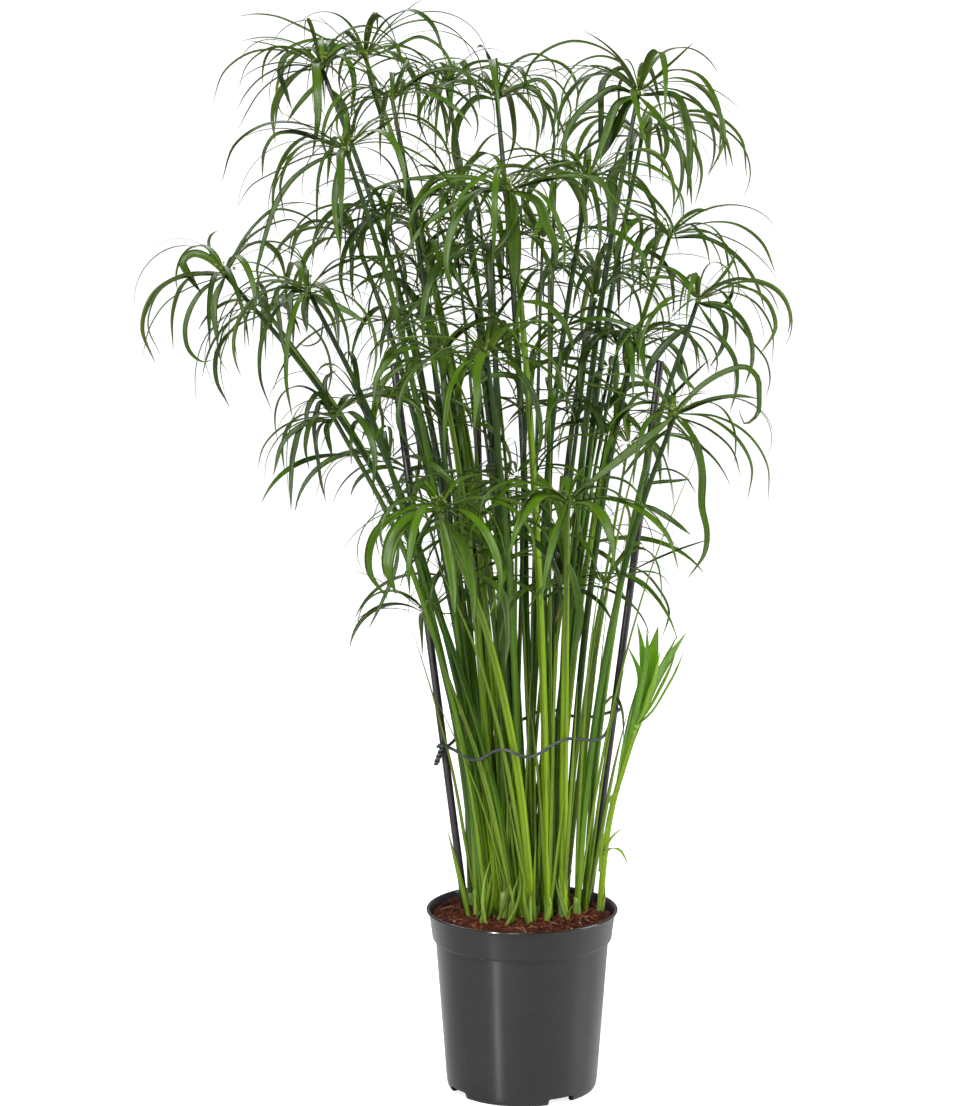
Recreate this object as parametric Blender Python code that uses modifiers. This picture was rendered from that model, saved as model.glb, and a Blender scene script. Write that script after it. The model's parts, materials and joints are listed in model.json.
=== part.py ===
"""A potted umbrella sedge: a dark nursery pot with its soil, three stakes and the wire that ties the
clump to them, and twenty-seven stems that each carry a crown of long bracts.

Metres, +Z up, -Y is the front. The origin is the middle of the pot's foot, where the pot stands.
"""

import math
from random import Random
from typing import NamedTuple

import bmesh
import bpy
import numpy as np
from mathutils import Matrix, Vector
from mathutils.bvhtree import BVHTree
from mathutils.geometry import intersect_ray_tri

GAP = 0.0003
MERGE = 0.00005
TINY = 1e-12

# Pot
POT_HEIGHT = 0.182
RIM_RADIUS = 0.0953
LIP_HEIGHT = 0.003
COLLAR_TOP_RADIUS = 0.0925
COLLAR_FOOT_RADIUS = 0.0890
COLLAR_HEIGHT = 0.030
BODY_TOP_RADIUS = 0.0860
BODY_FOOT_RADIUS = 0.0750
FOOT_RADIUS = 0.0730
FOOT_BEVEL = 0.005
WALL = 0.0016
FLOOR_HEIGHT = 0.008
FOOT_WIDTH = 0.006
CENTRE_FOOT_RADIUS = 0.016
POT_STEPS = 32
NOTCH_COUNT = 4
NOTCH_TURN = math.radians(31)
NOTCH_WIDTH = 0.028
NOTCH_HEIGHT = 0.0064
NOTCH_DEPTH = 0.030
DRAIN_RADIUS = 0.006
DRAIN_RING = 0.045
DRAIN_SIDES = 10
DRAIN_CUT = 4 * WALL

# Soil
SOIL_TOP = POT_HEIGHT - 0.009
SOIL_MOUND = 0.004
SOIL_SHOULDER = 0.050
SOIL_SHOULDER_SHARE = 0.6
SOCKET_REACH = 0.020
SOCKET_SIDES = 6
STAKE_DEPTH = 0.060

# Stems
STEM_FOOT = 0.160
STEM_PIECE = 0.145
FEWEST_PIECES = 2
CLUMP_WIDTH = 0.058
CLUMP_DEPTH = 0.036
CLUMP_MIDDLE = (0.006, 0.018)
BASE_SPACING = 0.0150
BASE_SHARE = 0.17
BASE_SCATTER = 0.022
BASE_SEED = 27
BASE_ROUNDS = 200
BOW_SHARE = 0.17
BOW_HEIGHT = 0.62
STEM_TIP_RADIUS = 0.0022
STEM_TAPER = 2.0
STEM_ROUNDNESS = 1
STEM_CLEARANCE = 0.0012
HUB_CLEARANCE = 0.0010
PUSH_SHARE = 0.6
PUSH_ROUNDS = 400
YOUNG_FOOT = (0.0765, 0.010)

# Stakes
STAKE_RADIUS = 0.0037
STAKE_ROUNDNESS = 2
STAKE_TOP = 0.725

# Tie
TIE_RADIUS = 0.0016
TIE_ROUNDNESS = 1
TIE_HEIGHT = 0.356
TIE_SLOPE_ACROSS = 0.16
TIE_SLOPE_BACK = 0.07
TIE_WAVE = 0.0055
TIE_WAVES = 6
TIE_PHASE = math.radians(40)
TIE_CLEARANCE = 0.0022
TIE_BENDS = 32
TIE_POINTS = 42
TIE_START = math.radians(196)
TIE_TAIL = 0.017
TIE_TAIL_POINTS = 8
TIE_TAIL_DROP = math.radians(52)
TIE_TAIL_START = 0.003

# Crowns
HUB_RADIUS = 0.0038
HUB_HALF_HEIGHT = 0.0022
BRACTS = 8
BRACT_SEGMENTS = 4
BRACT_STEPS = 24
BRACT_CLEARANCE = 0.0006
ROOT_SHARE = 0.06
BRACT_SPREAD = 0.2
BRACT_SWING = 0.45
BRACT_TWIST = 0.9
SET_TWIST = 0.7
BRACT_BEND = 1.1
SHORTEST_SHARE = 0.68
SLIMMEST_SHARE = 0.55
LENGTH_GIVEN_UP = 0.25
WIDTH_GIVEN_UP = 0.6
BLADE_NECK = 0.62
BLADE_WIDEST = 0.4
BLADE_POINT = 0.1
KEEL_SHARE = 0.35
KEEL_DEPTH = 0.0016
TRIES = 90
SET_TRIES = 7
CROWN_SEED = 4100

# How far a bract slopes up where it starts, from the stem's crossways, and at its tip, from the level,
# in degrees.
BRACT_RISE = (18, 68)
BRACT_TIP = (-148, -72)

# Each finish's colour and roughness.
FINISHES = {
    "pot_plastic": ((0.055, 0.055, 0.060), 0.38),
    "peat": ((0.085, 0.032, 0.016), 0.95),
    "stem_green": ((0.130, 0.260, 0.030), 0.42),
    "bract_green": ((0.045, 0.145, 0.025), 0.45),
    "stake_black": ((0.014, 0.011, 0.016), 0.40),
    "wire_grey": ((0.045, 0.055, 0.048), 0.55),
}


class Culm(NamedTuple):
    """One stem and its crown: the crown's centre, the length of its longest bract and the width of its
    widest, and the stem's radius at its foot."""

    x: float
    y: float
    z: float
    reach: float
    blade: float = 0.0088
    girth: float = 0.0036


class Stance(NamedTuple):
    """How one bract stands: its direction round the stem, its slopes, swing and twist in radians, and
    its length and width."""

    turn: float
    rise: float
    tip: float
    swing: float
    twist: float
    length: float
    width: float


class Blade(NamedTuple):
    """One bract's stations from the hub to the tip, with its direction across and its width at each."""

    points: np.ndarray
    across: np.ndarray
    widths: np.ndarray


class Rod(NamedTuple):
    """A round rod: its points, the radius at each, and which of them may be pushed aside."""

    points: np.ndarray
    radii: np.ndarray
    free: np.ndarray


# Each crown's place, read from the photograph with a guess of its depth, to the nearest 5 mm. The last
# is the young shoot.
CULMS = [
    Culm(-0.195, 0.045, 1.010, 0.150),
    Culm(-0.155, 0.110, 1.020, 0.170),
    Culm(-0.125, -0.010, 0.980, 0.170),
    Culm(-0.165, -0.110, 0.935, 0.170),
    Culm(-0.025, 0.060, 0.980, 0.175, 0.0095, 0.0040),
    Culm(-0.015, -0.150, 0.900, 0.195, 0.0100, 0.0042),
    Culm(0.060, -0.070, 0.905, 0.180),
    Culm(0.110, 0.010, 0.985, 0.185, 0.0110, 0.0038),
    Culm(0.120, 0.140, 0.940, 0.175),
    Culm(-0.075, 0.190, 0.990, 0.170),
    Culm(-0.285, -0.030, 0.815, 0.165, 0.0095, 0.0032),
    Culm(-0.250, 0.065, 0.770, 0.150, 0.0085, 0.0032),
    Culm(-0.200, -0.120, 0.805, 0.165),
    Culm(-0.165, 0.120, 0.840, 0.165),
    Culm(-0.105, 0.030, 0.870, 0.160),
    Culm(-0.030, -0.045, 0.830, 0.165, 0.0095, 0.0044),
    Culm(-0.080, -0.080, 0.740, 0.160, 0.0110, 0.0040),
    Culm(-0.035, -0.170, 0.750, 0.175, 0.0110, 0.0040),
    Culm(-0.180, -0.060, 0.680, 0.140, 0.0095, 0.0032),
    Culm(-0.080, -0.155, 0.605, 0.150, 0.0155, 0.0044),
    Culm(0.040, -0.150, 0.610, 0.150, 0.0125, 0.0046),
    Culm(0.140, -0.120, 0.690, 0.140),
    Culm(0.110, 0.030, 0.745, 0.160, 0.0110, 0.0040),
    Culm(0.075, 0.160, 0.800, 0.170),
    Culm(0.145, 0.075, 0.845, 0.140),
    Culm(0.165, -0.050, 0.790, 0.145),
    Culm(0.110, -0.040, 0.375, 0.115, 0.0145, 0.0034),
]
YOUNG_CULM = len(CULMS) - 1
CULM_NAMES = [f"{number + 1:02d}" for number in range(len(CULMS))]

# Bracts that stand as the photograph shows them, by culm and slot: turn, rise and tip in degrees, length
# and width. The young shoot has no others.
SET_BRACTS = {
    0: {0: (0, 62, -100, 0.125, 0.0070), 1: (38, 72, -70, 0.180, 0.0042)},
    1: {4: (180, 35, -12, 0.150, 0.0075)},
    4: {2: (90, 84, 88, 0.060, 0.0095)},
    19: {0: (0, 62, 66, 0.078, 0.0155), 7: (-40, 24, -112, 0.150, 0.0150)},
    YOUNG_CULM: {
        0: (0, 58, 64, 0.100, 0.0085),
        1: (45, 56, 66, 0.090, 0.0050),
        2: (90, 58, 92, 0.100, 0.0100),
        3: (135, 56, 92, 0.080, 0.0042),
        4: (180, 58, 114, 0.100, 0.0055),
        6: (270, 60, 96, 0.106, 0.0145),
        7: (315, 50, 62, 0.092, 0.0052),
    },
}

# Each stake's foot at the soil and its top, across and deep.
STAKES = {
    "stake_left": ((-0.056, 0.008), (-0.125, -0.010)),
    "stake_right": ((0.067, 0.036), (0.135, 0.030)),
    "stake_back": ((-0.034, 0.062), (-0.046, 0.105)),
}


def clear_scene():
    """Empties the scene."""
    for obj in list(bpy.data.objects):
        bpy.data.objects.remove(obj, do_unlink=True)


def collection(name, hidden=False):
    """Makes a collection in the scene."""
    made = bpy.data.collections.new(name)
    made.hide_render = hidden
    bpy.context.scene.collection.children.link(made)
    return made


def material(name, colour, roughness):
    """Makes a plain Principled material."""
    made = bpy.data.materials.new(name)
    made.use_nodes = True
    shader = made.node_tree.nodes["Principled BSDF"]
    shader.inputs["Base Color"].default_value = (*colour, 1)
    shader.inputs["Roughness"].default_value = roughness
    shader.inputs["Metallic"].default_value = 0
    return made


def add(group, name, data, finish=None):
    """Adds an object with this data to the collection."""
    obj = bpy.data.objects.new(name, data)
    group.objects.link(obj)
    if finish:
        data.materials.append(finish)
    return obj


def cutter(group, name, bm):
    """Adds a helper that only a Boolean reads."""
    mesh = bpy.data.meshes.new(name)
    bm.to_mesh(mesh)
    bm.free()
    obj = add(group, name, mesh)
    obj.hide_render = True
    obj.display_type = "WIRE"
    return obj


def subtract(obj, tool):
    """Cuts the tool out of the object."""
    cut = obj.modifiers.new("cut_" + tool.name, "BOOLEAN")
    cut.operation = "DIFFERENCE"
    cut.object = tool


def turned(group, name, profile, finish):
    """Turns a profile of (radius, height) points, listed down the outside first, round the Z axis."""
    bm = bmesh.new()
    verts = [bm.verts.new((radius, 0, height)) for radius, height in profile]
    for first, second in zip(verts, verts[1:]):
        bm.edges.new((first, second))
    mesh = bpy.data.meshes.new(name)
    bm.to_mesh(mesh)
    bm.free()
    obj = add(group, name, mesh, finish)
    screw = obj.modifiers.new("turn", "SCREW")
    screw.axis = "Z"
    screw.steps = POT_STEPS
    screw.render_steps = POT_STEPS
    screw.use_merge_vertices = True
    screw.merge_threshold = MERGE
    screw.use_smooth_shade = True
    return obj


def rod_object(group, name, rod, roundness, finish):
    """A round rod, as a bevelled curve with closed ends."""
    curve = bpy.data.curves.new(name, "CURVE")
    curve.dimensions = "3D"
    curve.bevel_depth = 1
    curve.bevel_resolution = roundness
    curve.use_fill_caps = True
    spline = curve.splines.new("POLY")
    spline.points.add(len(rod.points) - 1)
    for control, point, radius in zip(spline.points, rod.points, rod.radii):
        control.co = (*point, 1)
        control.radius = radius
    return add(group, name, curve, finish)


def closest(start_a, end_a, start_b, end_b):
    """The nearest points of straight pieces a and b: their shares along each, and the line between."""
    along_a = end_a - start_a
    along_b = end_b - start_b
    apart = start_a - start_b
    aa = np.sum(along_a * along_a, -1) + TINY
    bb = np.sum(along_b * along_b, -1) + TINY
    ab = np.sum(along_a * along_b, -1)
    ac = np.sum(along_a * apart, -1)
    bc = np.sum(along_b * apart, -1)
    spread = np.maximum(aa * bb - ab * ab, TINY)
    share_a = np.clip((ab * bc - ac * bb) / spread, 0, 1)
    share_b = np.clip((ab * share_a + bc) / bb, 0, 1)
    share_a = np.clip((ab * share_b - ac) / aa, 0, 1)
    line = start_a + share_a[..., None] * along_a - start_b - share_b[..., None] * along_b
    return share_a, share_b, line


def facing(turn):
    """The level direction at this turn from +X."""
    return np.array((math.cos(turn), math.sin(turn)))


def base_places():
    """Where each stem leaves the soil: under its crown's side of the clump, and pushed apart."""
    rng = Random(BASE_SEED)
    places = np.array([(culm.x, culm.y) for culm in CULMS]) * BASE_SHARE
    places += [(rng.uniform(-1, 1) * BASE_SCATTER, rng.uniform(-1, 1) * BASE_SCATTER) for _ in CULMS]
    middle = np.array(CLUMP_MIDDLE)
    clump = np.array((CLUMP_WIDTH, CLUMP_DEPTH))
    fixed = np.array([foot for foot, _ in STAKES.values()] + [YOUNG_FOOT])
    for _ in range(BASE_ROUNDS):
        apart = places[:, None] - np.concatenate([places, fixed])
        distances = np.linalg.norm(apart, axis=2)
        distances[range(len(places)), range(len(places))] = math.inf
        short = np.maximum(BASE_SPACING - distances, 0) / distances
        places += (apart * short[..., None]).sum(axis=1) / 2
        out = np.maximum(np.linalg.norm((places - middle) / clump, axis=1), 1)
        places = middle + (places - middle) / out[:, None]
    places[YOUNG_CULM] = YOUNG_FOOT
    return places


def stem_rod(culm, place):
    """A stem's bow: it leaves the soil nearly upright and leans out further up, thinning all the way."""
    foot = Vector((*place, STEM_FOOT))
    top = Vector((culm.x, culm.y, culm.z - HUB_HALF_HEIGHT - GAP))
    bend = foot.lerp(top, BOW_SHARE)
    bend.z = foot.z + BOW_HEIGHT * (top.z - foot.z)
    pieces = max(FEWEST_PIECES, round((top.z - foot.z) / STEM_PIECE))
    shares = np.linspace(0, 1, pieces + 1)
    points = [foot.lerp(bend, share).lerp(bend.lerp(top, share), share) for share in shares]
    free = (shares > 0) & (shares < 1)
    radii = culm.girth + (STEM_TIP_RADIUS - culm.girth) * shares**STEM_TAPER
    return Rod(np.array(points), radii, free)


def stake_rod(foot, top):
    """A stake's straight line, from its point in the soil to its top."""
    start = np.array((*foot, SOIL_TOP))
    end = np.array((*top, STAKE_TOP))
    start += (start - end) * STAKE_DEPTH / (STAKE_TOP - SOIL_TOP)
    return Rod(np.array([start, end]), np.full(2, STAKE_RADIUS), np.zeros(2, bool))


def spread_stems(stems, stakes):
    """Pushes the stems' free points aside until no stem touches another, a crown's hub or a stake."""
    rods = stems + stakes
    pieces = [(rod, index) for rod in rods for index in range(len(rod.points) - 1)]
    owner = np.concatenate([np.full(len(rod.points) - 1, number) for number, rod in enumerate(rods)])
    thick = np.array([rod.radii[index] for rod, index in pieces])
    tops = [len(rod.points) - 2 for rod in stems] + [None] * len(stakes)
    under_hub = [index == tops[number] for number, (_, index) in zip(owner, pieces)]
    thick[under_hub] = HUB_RADIUS + HUB_CLEARANCE
    first, second = np.triu_indices(len(pieces), 1)
    apart = owner[first] != owner[second]
    first, second = first[apart], second[apart]
    needed = thick[first] + thick[second] + STEM_CLEARANCE
    for _ in range(PUSH_ROUNDS):
        starts = np.array([rod.points[index] for rod, index in pieces])
        ends = np.array([rod.points[index + 1] for rod, index in pieces])
        shares_a, shares_b, lines = closest(starts[first], ends[first], starts[second], ends[second])
        distances = np.linalg.norm(lines, axis=1)
        touching = np.nonzero(distances < needed)[0]
        if not len(touching):
            return
        for pair in touching:
            level = np.array((*lines[pair][:2], 0))
            push = level / max(np.linalg.norm(level), TINY) * (needed[pair] - distances[pair]) * PUSH_SHARE
            push_piece(*pieces[first[pair]], shares_a[pair], push)
            push_piece(*pieces[second[pair]], shares_b[pair], -push)


def push_piece(rod, index, share, push):
    """Moves the free ends of one straight piece of a rod, each by its part in the place that touches."""
    for end, weight in ((index, 1 - share), (index + 1, share)):
        if rod.free[end]:
            rod.points[end] += push * weight


def tie_height(place):
    """The height of the wire's sloping ring at this place, before its waves."""
    return TIE_HEIGHT + TIE_SLOPE_ACROSS * place[0] + TIE_SLOPE_BACK * place[1]


def tie_crossings(rods):
    """Where each rod passes through the wire's ring, and its radius there."""
    found = []
    for rod in rods:
        for start, end, radius in zip(rod.points, rod.points[1:], rod.radii):
            below = tie_height(start) - start[2]
            above = end[2] - tie_height(end)
            if below >= 0 and above > 0:
                found.append(((start + (end - start) * below / (below + above))[:2], radius))
    return found


def evenly(points, count):
    """Places evenly spaced along a line of points."""
    steps = np.linalg.norm(np.diff(points, axis=0), axis=1)
    along = np.concatenate([[0], np.cumsum(steps)])
    wanted = np.linspace(0, along[-1], count)
    return np.stack([np.interp(wanted, along, points[:, axis]) for axis in (0, 1)], axis=1)


def waved(place):
    """A place on the wire's ring, at its height with the wire's waves."""
    turn = math.atan2(place[1], place[0])
    return np.array((*place, tie_height(place) + TIE_WAVE * math.sin(TIE_WAVES * turn + TIE_PHASE)))


def tie_rod(rods):
    """The wire tie: it runs straight from one outer stem or stake to the next and bends round each,
    and its two ends are twisted together at the left stake."""
    crossings = tie_crossings(rods)
    step = 2 * math.pi / TIE_BENDS
    turns = TIE_START + step * np.arange(TIE_BENDS + 1)
    clear = TIE_RADIUS + TIE_CLEARANCE
    reaches = [max(place @ facing(turn) + radius for place, radius in crossings) + clear for turn in turns]
    bends = []
    for turn, reach, following in zip(turns, reaches, reaches[1:]):
        past = (following - reach * math.cos(step)) / math.sin(step)
        bends.append(facing(turn) * reach + facing(turn + math.pi / 2) * past)
    ring = [waved(place) for place in evenly(np.array(bends[1:-1]), TIE_POINTS)]
    out = Vector((*facing(TIE_START) * math.cos(TIE_TAIL_DROP), -math.sin(TIE_TAIL_DROP)))
    beside = Vector((*facing(TIE_START + math.pi / 2), 0))
    knot = Vector((ring[0] + ring[-1]) / 2) + Vector((*facing(TIE_START), 0)) * TIE_TAIL_START
    tails = []
    for side in (1, -1):
        shares = np.linspace(0, 1, TIE_TAIL_POINTS)
        arm = beside * side * (TIE_RADIUS + GAP)
        twists = [Matrix.Rotation(2 * math.pi * share, 3, out) @ arm for share in shares]
        tails.append([np.array(knot + out * TIE_TAIL * share + arm) for share, arm in zip(shares, twists)])
    points = np.array(tails[0][::-1] + ring + tails[1])
    return Rod(points, np.full(len(points), TIE_RADIUS), np.zeros(len(points), bool))


class Thicket:
    """Every straight piece placed so far, with its radius, so that new bracts can keep clear."""

    def __init__(self, rods):
        self.starts = np.concatenate([rod.points[:-1] for rod in rods])
        self.ends = np.concatenate([rod.points[1:] for rod in rods])
        self.radii = np.concatenate([np.maximum(rod.radii[:-1], rod.radii[1:]) for rod in rods])
        self.skins = []

    def room(self, points, radii, root):
        """The least room round a bract. Its first piece ignores what starts or ends at its own root."""
        _, _, lines = closest(points[:-1, None], points[1:, None], self.starts[None], self.ends[None])
        thick = np.maximum(radii[:-1], radii[1:])
        gaps = np.linalg.norm(lines, axis=2) - thick[:, None] - self.radii[None]
        near_root = 2 * HUB_RADIUS
        own = np.linalg.norm(self.starts - root, axis=1) < near_root
        own |= np.linalg.norm(self.ends - root, axis=1) < near_root
        gaps[0, own] = math.inf
        return gaps.min()

    def crossed(self, skin):
        """Whether a bract's faces touch those of any bract placed so far."""
        return any(skin.overlap(other) for other in self.skins)

    def place(self, points, radii, skin):
        """Adds a bract."""
        self.skins.append(skin)
        self.starts = np.concatenate([self.starts, points[:-1]])
        self.ends = np.concatenate([self.ends, points[1:]])
        self.radii = np.concatenate([self.radii, np.maximum(radii[:-1], radii[1:])])


def blade_swell(shares):
    """A blade's width along its length, as a share of its widest: a narrow neck and a long point."""
    neck = BLADE_NECK + (1 - BLADE_NECK) * shares / BLADE_WIDEST
    point = 1 - (1 - BLADE_POINT) * ((shares - BLADE_WIDEST) / (1 - BLADE_WIDEST)) ** 2
    return np.where(shares < BLADE_WIDEST, neck, point)


def blade_of(hub, lean, stance):
    """Follows a bract outwards from the hub while it bends over."""
    out = Vector((*facing(stance.turn), 0))
    start = lean @ (out * math.cos(stance.rise) + Vector((0, 0, math.sin(stance.rise))))
    slope = math.atan2(start.z, math.hypot(start.x, start.y))
    heading = math.atan2(start.y, start.x)
    point = np.array(hub + lean @ out * HUB_RADIUS)
    points, across = [point], []
    for step in range(BRACT_STEPS):
        share = (step + 0.5) / BRACT_STEPS
        dip = slope + (stance.tip - slope) * share**BRACT_BEND
        turn = heading + stance.swing * share
        along = np.array((*facing(turn) * math.cos(dip), math.sin(dip)))
        level = np.array((*facing(turn + math.pi / 2), 0))
        roll = stance.twist * share
        across.append(level * math.cos(roll) + np.cross(along, level) * math.sin(roll))
        point = point + along * stance.length / BRACT_STEPS
        points.append(point)
    across.append(across[-1])
    stations = np.linspace(0, BRACT_STEPS, BRACT_SEGMENTS + 1).astype(int)
    widths = stance.width * blade_swell(stations / BRACT_STEPS)
    return Blade(np.array(points)[stations], np.array(across)[stations], widths)


def set_stance(turn, rise, tip, length, width, effort):
    """The stance of a bract that stands as the photograph shows it. It gets slimmer as the effort grows."""
    turn, rise, tip = (math.radians(angle) for angle in (turn, rise, tip))
    return Stance(turn, rise, tip, 0, SET_TWIST, length, width * (1 - WIDTH_GIVEN_UP * effort))


def random_stance(rng, culm, slot, effort):
    """A new stance for the bract of one slot. It gets slimmer and shorter as the effort grows to 1."""
    return Stance(
        turn=2 * math.pi * slot / BRACTS + rng.uniform(-BRACT_SPREAD, BRACT_SPREAD),
        rise=math.radians(rng.uniform(*BRACT_RISE)),
        tip=math.radians(rng.uniform(*BRACT_TIP)),
        swing=rng.uniform(-BRACT_SWING, BRACT_SWING),
        twist=rng.uniform(-BRACT_TWIST, BRACT_TWIST),
        length=culm.reach * rng.uniform(SHORTEST_SHARE, 1) * (1 - LENGTH_GIVEN_UP * effort),
        width=culm.blade * rng.uniform(SLIMMEST_SHARE, 1) * (1 - WIDTH_GIVEN_UP * effort),
    )


def hub_place(stem):
    """The middle of the hub on a stem's end, and the stem's lean there."""
    end = Vector(stem.points[-1])
    lean = Vector((0, 0, 1)).rotation_difference(end - Vector(stem.points[-2])).to_matrix()
    return end + lean @ Vector((0, 0, HUB_HALF_HEIGHT + GAP)), lean


def hub_rod(stem):
    """The room that the hub on a stem's end takes."""
    hub, lean = hub_place(stem)
    half = lean @ Vector((0, 0, HUB_HALF_HEIGHT))
    return Rod(np.array([hub - half, hub + half]), np.full(2, HUB_RADIUS), np.zeros(2, bool))


def grow_crown(number, stem, thicket):
    """Finds room for each bract of one crown, with a new stance each time the last one touches."""
    culm = CULMS[number]
    rng = Random(CROWN_SEED + number)
    hub, lean = hub_place(stem)
    chosen = SET_BRACTS.get(number, {})
    blades = []
    for slot in range(BRACTS):
        stances = []
        if slot in chosen:
            stances = [set_stance(*chosen[slot], attempt / SET_TRIES) for attempt in range(SET_TRIES)]
        if number != YOUNG_CULM:
            stances += [random_stance(rng, culm, slot, attempt / TRIES) for attempt in range(TRIES)]
        blades.append(first_clear(hub, lean, slot, stances, thicket))
    return hub, lean, blades


def first_clear(hub, lean, slot, stances, thicket):
    """The blade of the first of these stances that touches nothing, now placed."""
    for stance in stances:
        blade = blade_of(hub, lean, stance)
        radii = blade.widths / 2
        rings = [hub_corners(hub, lean, slot)]
        rings += [station_corners(blade, station) for station in range(1, len(blade.points))]
        if not wrung(rings) and thicket.room(blade.points, radii, np.array(hub)) > BRACT_CLEARANCE:
            skin = blade_skin(rings)
            if not thicket.crossed(skin):
                thicket.place(blade.points, radii, skin)
                return blade
    return None


def hub_corners(hub, lean, slot):
    """The corners of the hub's face that a slot's bract grows from: two edges and a keel."""
    step = 2 * math.pi / BRACTS
    corners = ((slot - 0.5, 1), (slot + 0.5, 1), (slot, -1))
    return [
        hub + lean @ Vector((*facing(place * step) * HUB_RADIUS, side * HUB_HALF_HEIGHT))
        for place, side in corners
    ]


def station_corners(blade, station):
    """A blade's two edges and its keel at one station."""
    ends = [*blade.points, blade.points[-1]]
    along = Vector(ends[station + 1] - ends[station - 1]).normalized()
    across = Vector(blade.across[station])
    across = (across - along * across.dot(along)).normalized() * blade.widths[station] / 2
    keel = along.cross(across).normalized() * min(KEEL_DEPTH, blade.widths[station] * KEEL_SHARE)
    point = Vector(blade.points[station])
    return [point - across, point + across, point - keel]


def pierces(start, end, triangle):
    """Whether the line from start to end passes through a triangle."""
    step = end - start
    hit = intersect_ray_tri(*triangle, step, start, True)
    return hit is not None and 0 < (hit - start).dot(step) < step.length_squared


def wrung(rings):
    """Whether a bract is twisted so sharply from one ring of corners to the next that its own faces cross,
    split either way."""
    sides = [(side, (side + 1) % 3) for side in range(3)]
    faces = [(near, following, far + 3) for near, following in sides for far in (near, following)]
    faces += [(near, near + 3, following + 3) for near, following in sides]
    faces += [(following, near + 3, following + 3) for near, following in sides]
    edges = [(near, far) for near in range(3) for far in range(3, 6)]
    pairs = [(edge, face) for edge in edges for face in faces if not set(edge) & set(face)]
    for near, far in zip(rings, rings[1:]):
        corners = [*near, *far]
        for edge, face in pairs:
            if pierces(*(corners[index] for index in edge), [corners[index] for index in face]):
                return True
    return False


def blade_skin(rings):
    """The faces of a blade from close to its root, split both ways, to test its neighbours for crossing."""
    rings = [[near.lerp(far, ROOT_SHARE) for near, far in zip(rings[0], rings[1])], *rings[1:]]
    faces = []
    for station in range(len(rings) - 1):
        for side in range(3):
            first = 3 * station + side
            second = 3 * station + (side + 1) % 3
            faces += [(first, second, second + 3), (first, second + 3, first + 3)]
            faces += [(first, second, first + 3), (second, second + 3, first + 3)]
    return BVHTree.FromPolygons([corner for ring in rings for corner in ring], faces, epsilon=GAP)


def crown_mesh(name, hub, lean, blades):
    """The crown's solid: a hub with one slanting face for each bract, drawn out along its blade."""
    bm = bmesh.new()
    upper, lower = [], []
    for slot in range(BRACTS):
        edge, _, keel = hub_corners(hub, lean, slot)
        upper.append(bm.verts.new(edge))
        lower.append(bm.verts.new(keel))
    bmesh.ops.convex_hull(bm, input=bm.verts[:])
    for slot, blade in enumerate(blades):
        if blade:
            draw_out(bm, [upper[slot], upper[(slot + 1) % BRACTS], lower[slot]], blade)
    bmesh.ops.recalc_face_normals(bm, faces=bm.faces[:])
    mesh = bpy.data.meshes.new(name)
    bm.to_mesh(mesh)
    bm.free()
    return mesh


def draw_out(bm, corners, blade):
    """Extrudes the face on these three corners, two edges and a keel, from station to station."""
    face = next(face for face in corners[0].link_faces if all(corner in face.verts for corner in corners))
    for station in range(1, len(blade.points)):
        made = bmesh.ops.extrude_face_region(bm, geom=[face])["geom"]
        bmesh.ops.delete(bm, geom=[face], context="FACES_ONLY")
        face = next(part for part in made if isinstance(part, bmesh.types.BMFace))
        corners = [
            next(vert for edge in corner.link_edges for vert in edge.verts if vert in face.verts)
            for corner in corners
        ]
        for corner, place in zip(corners, station_corners(blade, station)):
            corner.co = place


def wall_outline():
    """The pot's wall from the rim down its outside, under its floor, and back up its inside."""
    collar_foot = POT_HEIGHT - COLLAR_HEIGHT
    under_lip = POT_HEIGHT - LIP_HEIGHT
    under_floor = FLOOR_HEIGHT - WALL
    outside = [
        (RIM_RADIUS - WALL, POT_HEIGHT),
        (RIM_RADIUS, POT_HEIGHT - WALL / 2),
        (RIM_RADIUS - WALL / 2, under_lip),
        (COLLAR_TOP_RADIUS, under_lip - WALL),
        (COLLAR_FOOT_RADIUS, collar_foot),
        (BODY_TOP_RADIUS, collar_foot - WALL),
        (BODY_FOOT_RADIUS, FOOT_BEVEL),
        (FOOT_RADIUS, 0),
    ]
    underside = [
        (FOOT_RADIUS - FOOT_WIDTH, 0),
        (FOOT_RADIUS - FOOT_WIDTH, under_floor),
        (CENTRE_FOOT_RADIUS, under_floor),
        (CENTRE_FOOT_RADIUS, 0),
        (0, 0),
    ]
    inside = [
        (0, FLOOR_HEIGHT),
        (BODY_FOOT_RADIUS - WALL, FLOOR_HEIGHT),
        (BODY_TOP_RADIUS - WALL, collar_foot - WALL),
        (COLLAR_FOOT_RADIUS - WALL, collar_foot + WALL),
        (COLLAR_TOP_RADIUS - WALL, under_lip),
        (RIM_RADIUS - 2 * WALL, POT_HEIGHT - WALL / 2),
        (RIM_RADIUS - WALL, POT_HEIGHT),
    ]
    return outside + underside + inside


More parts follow.
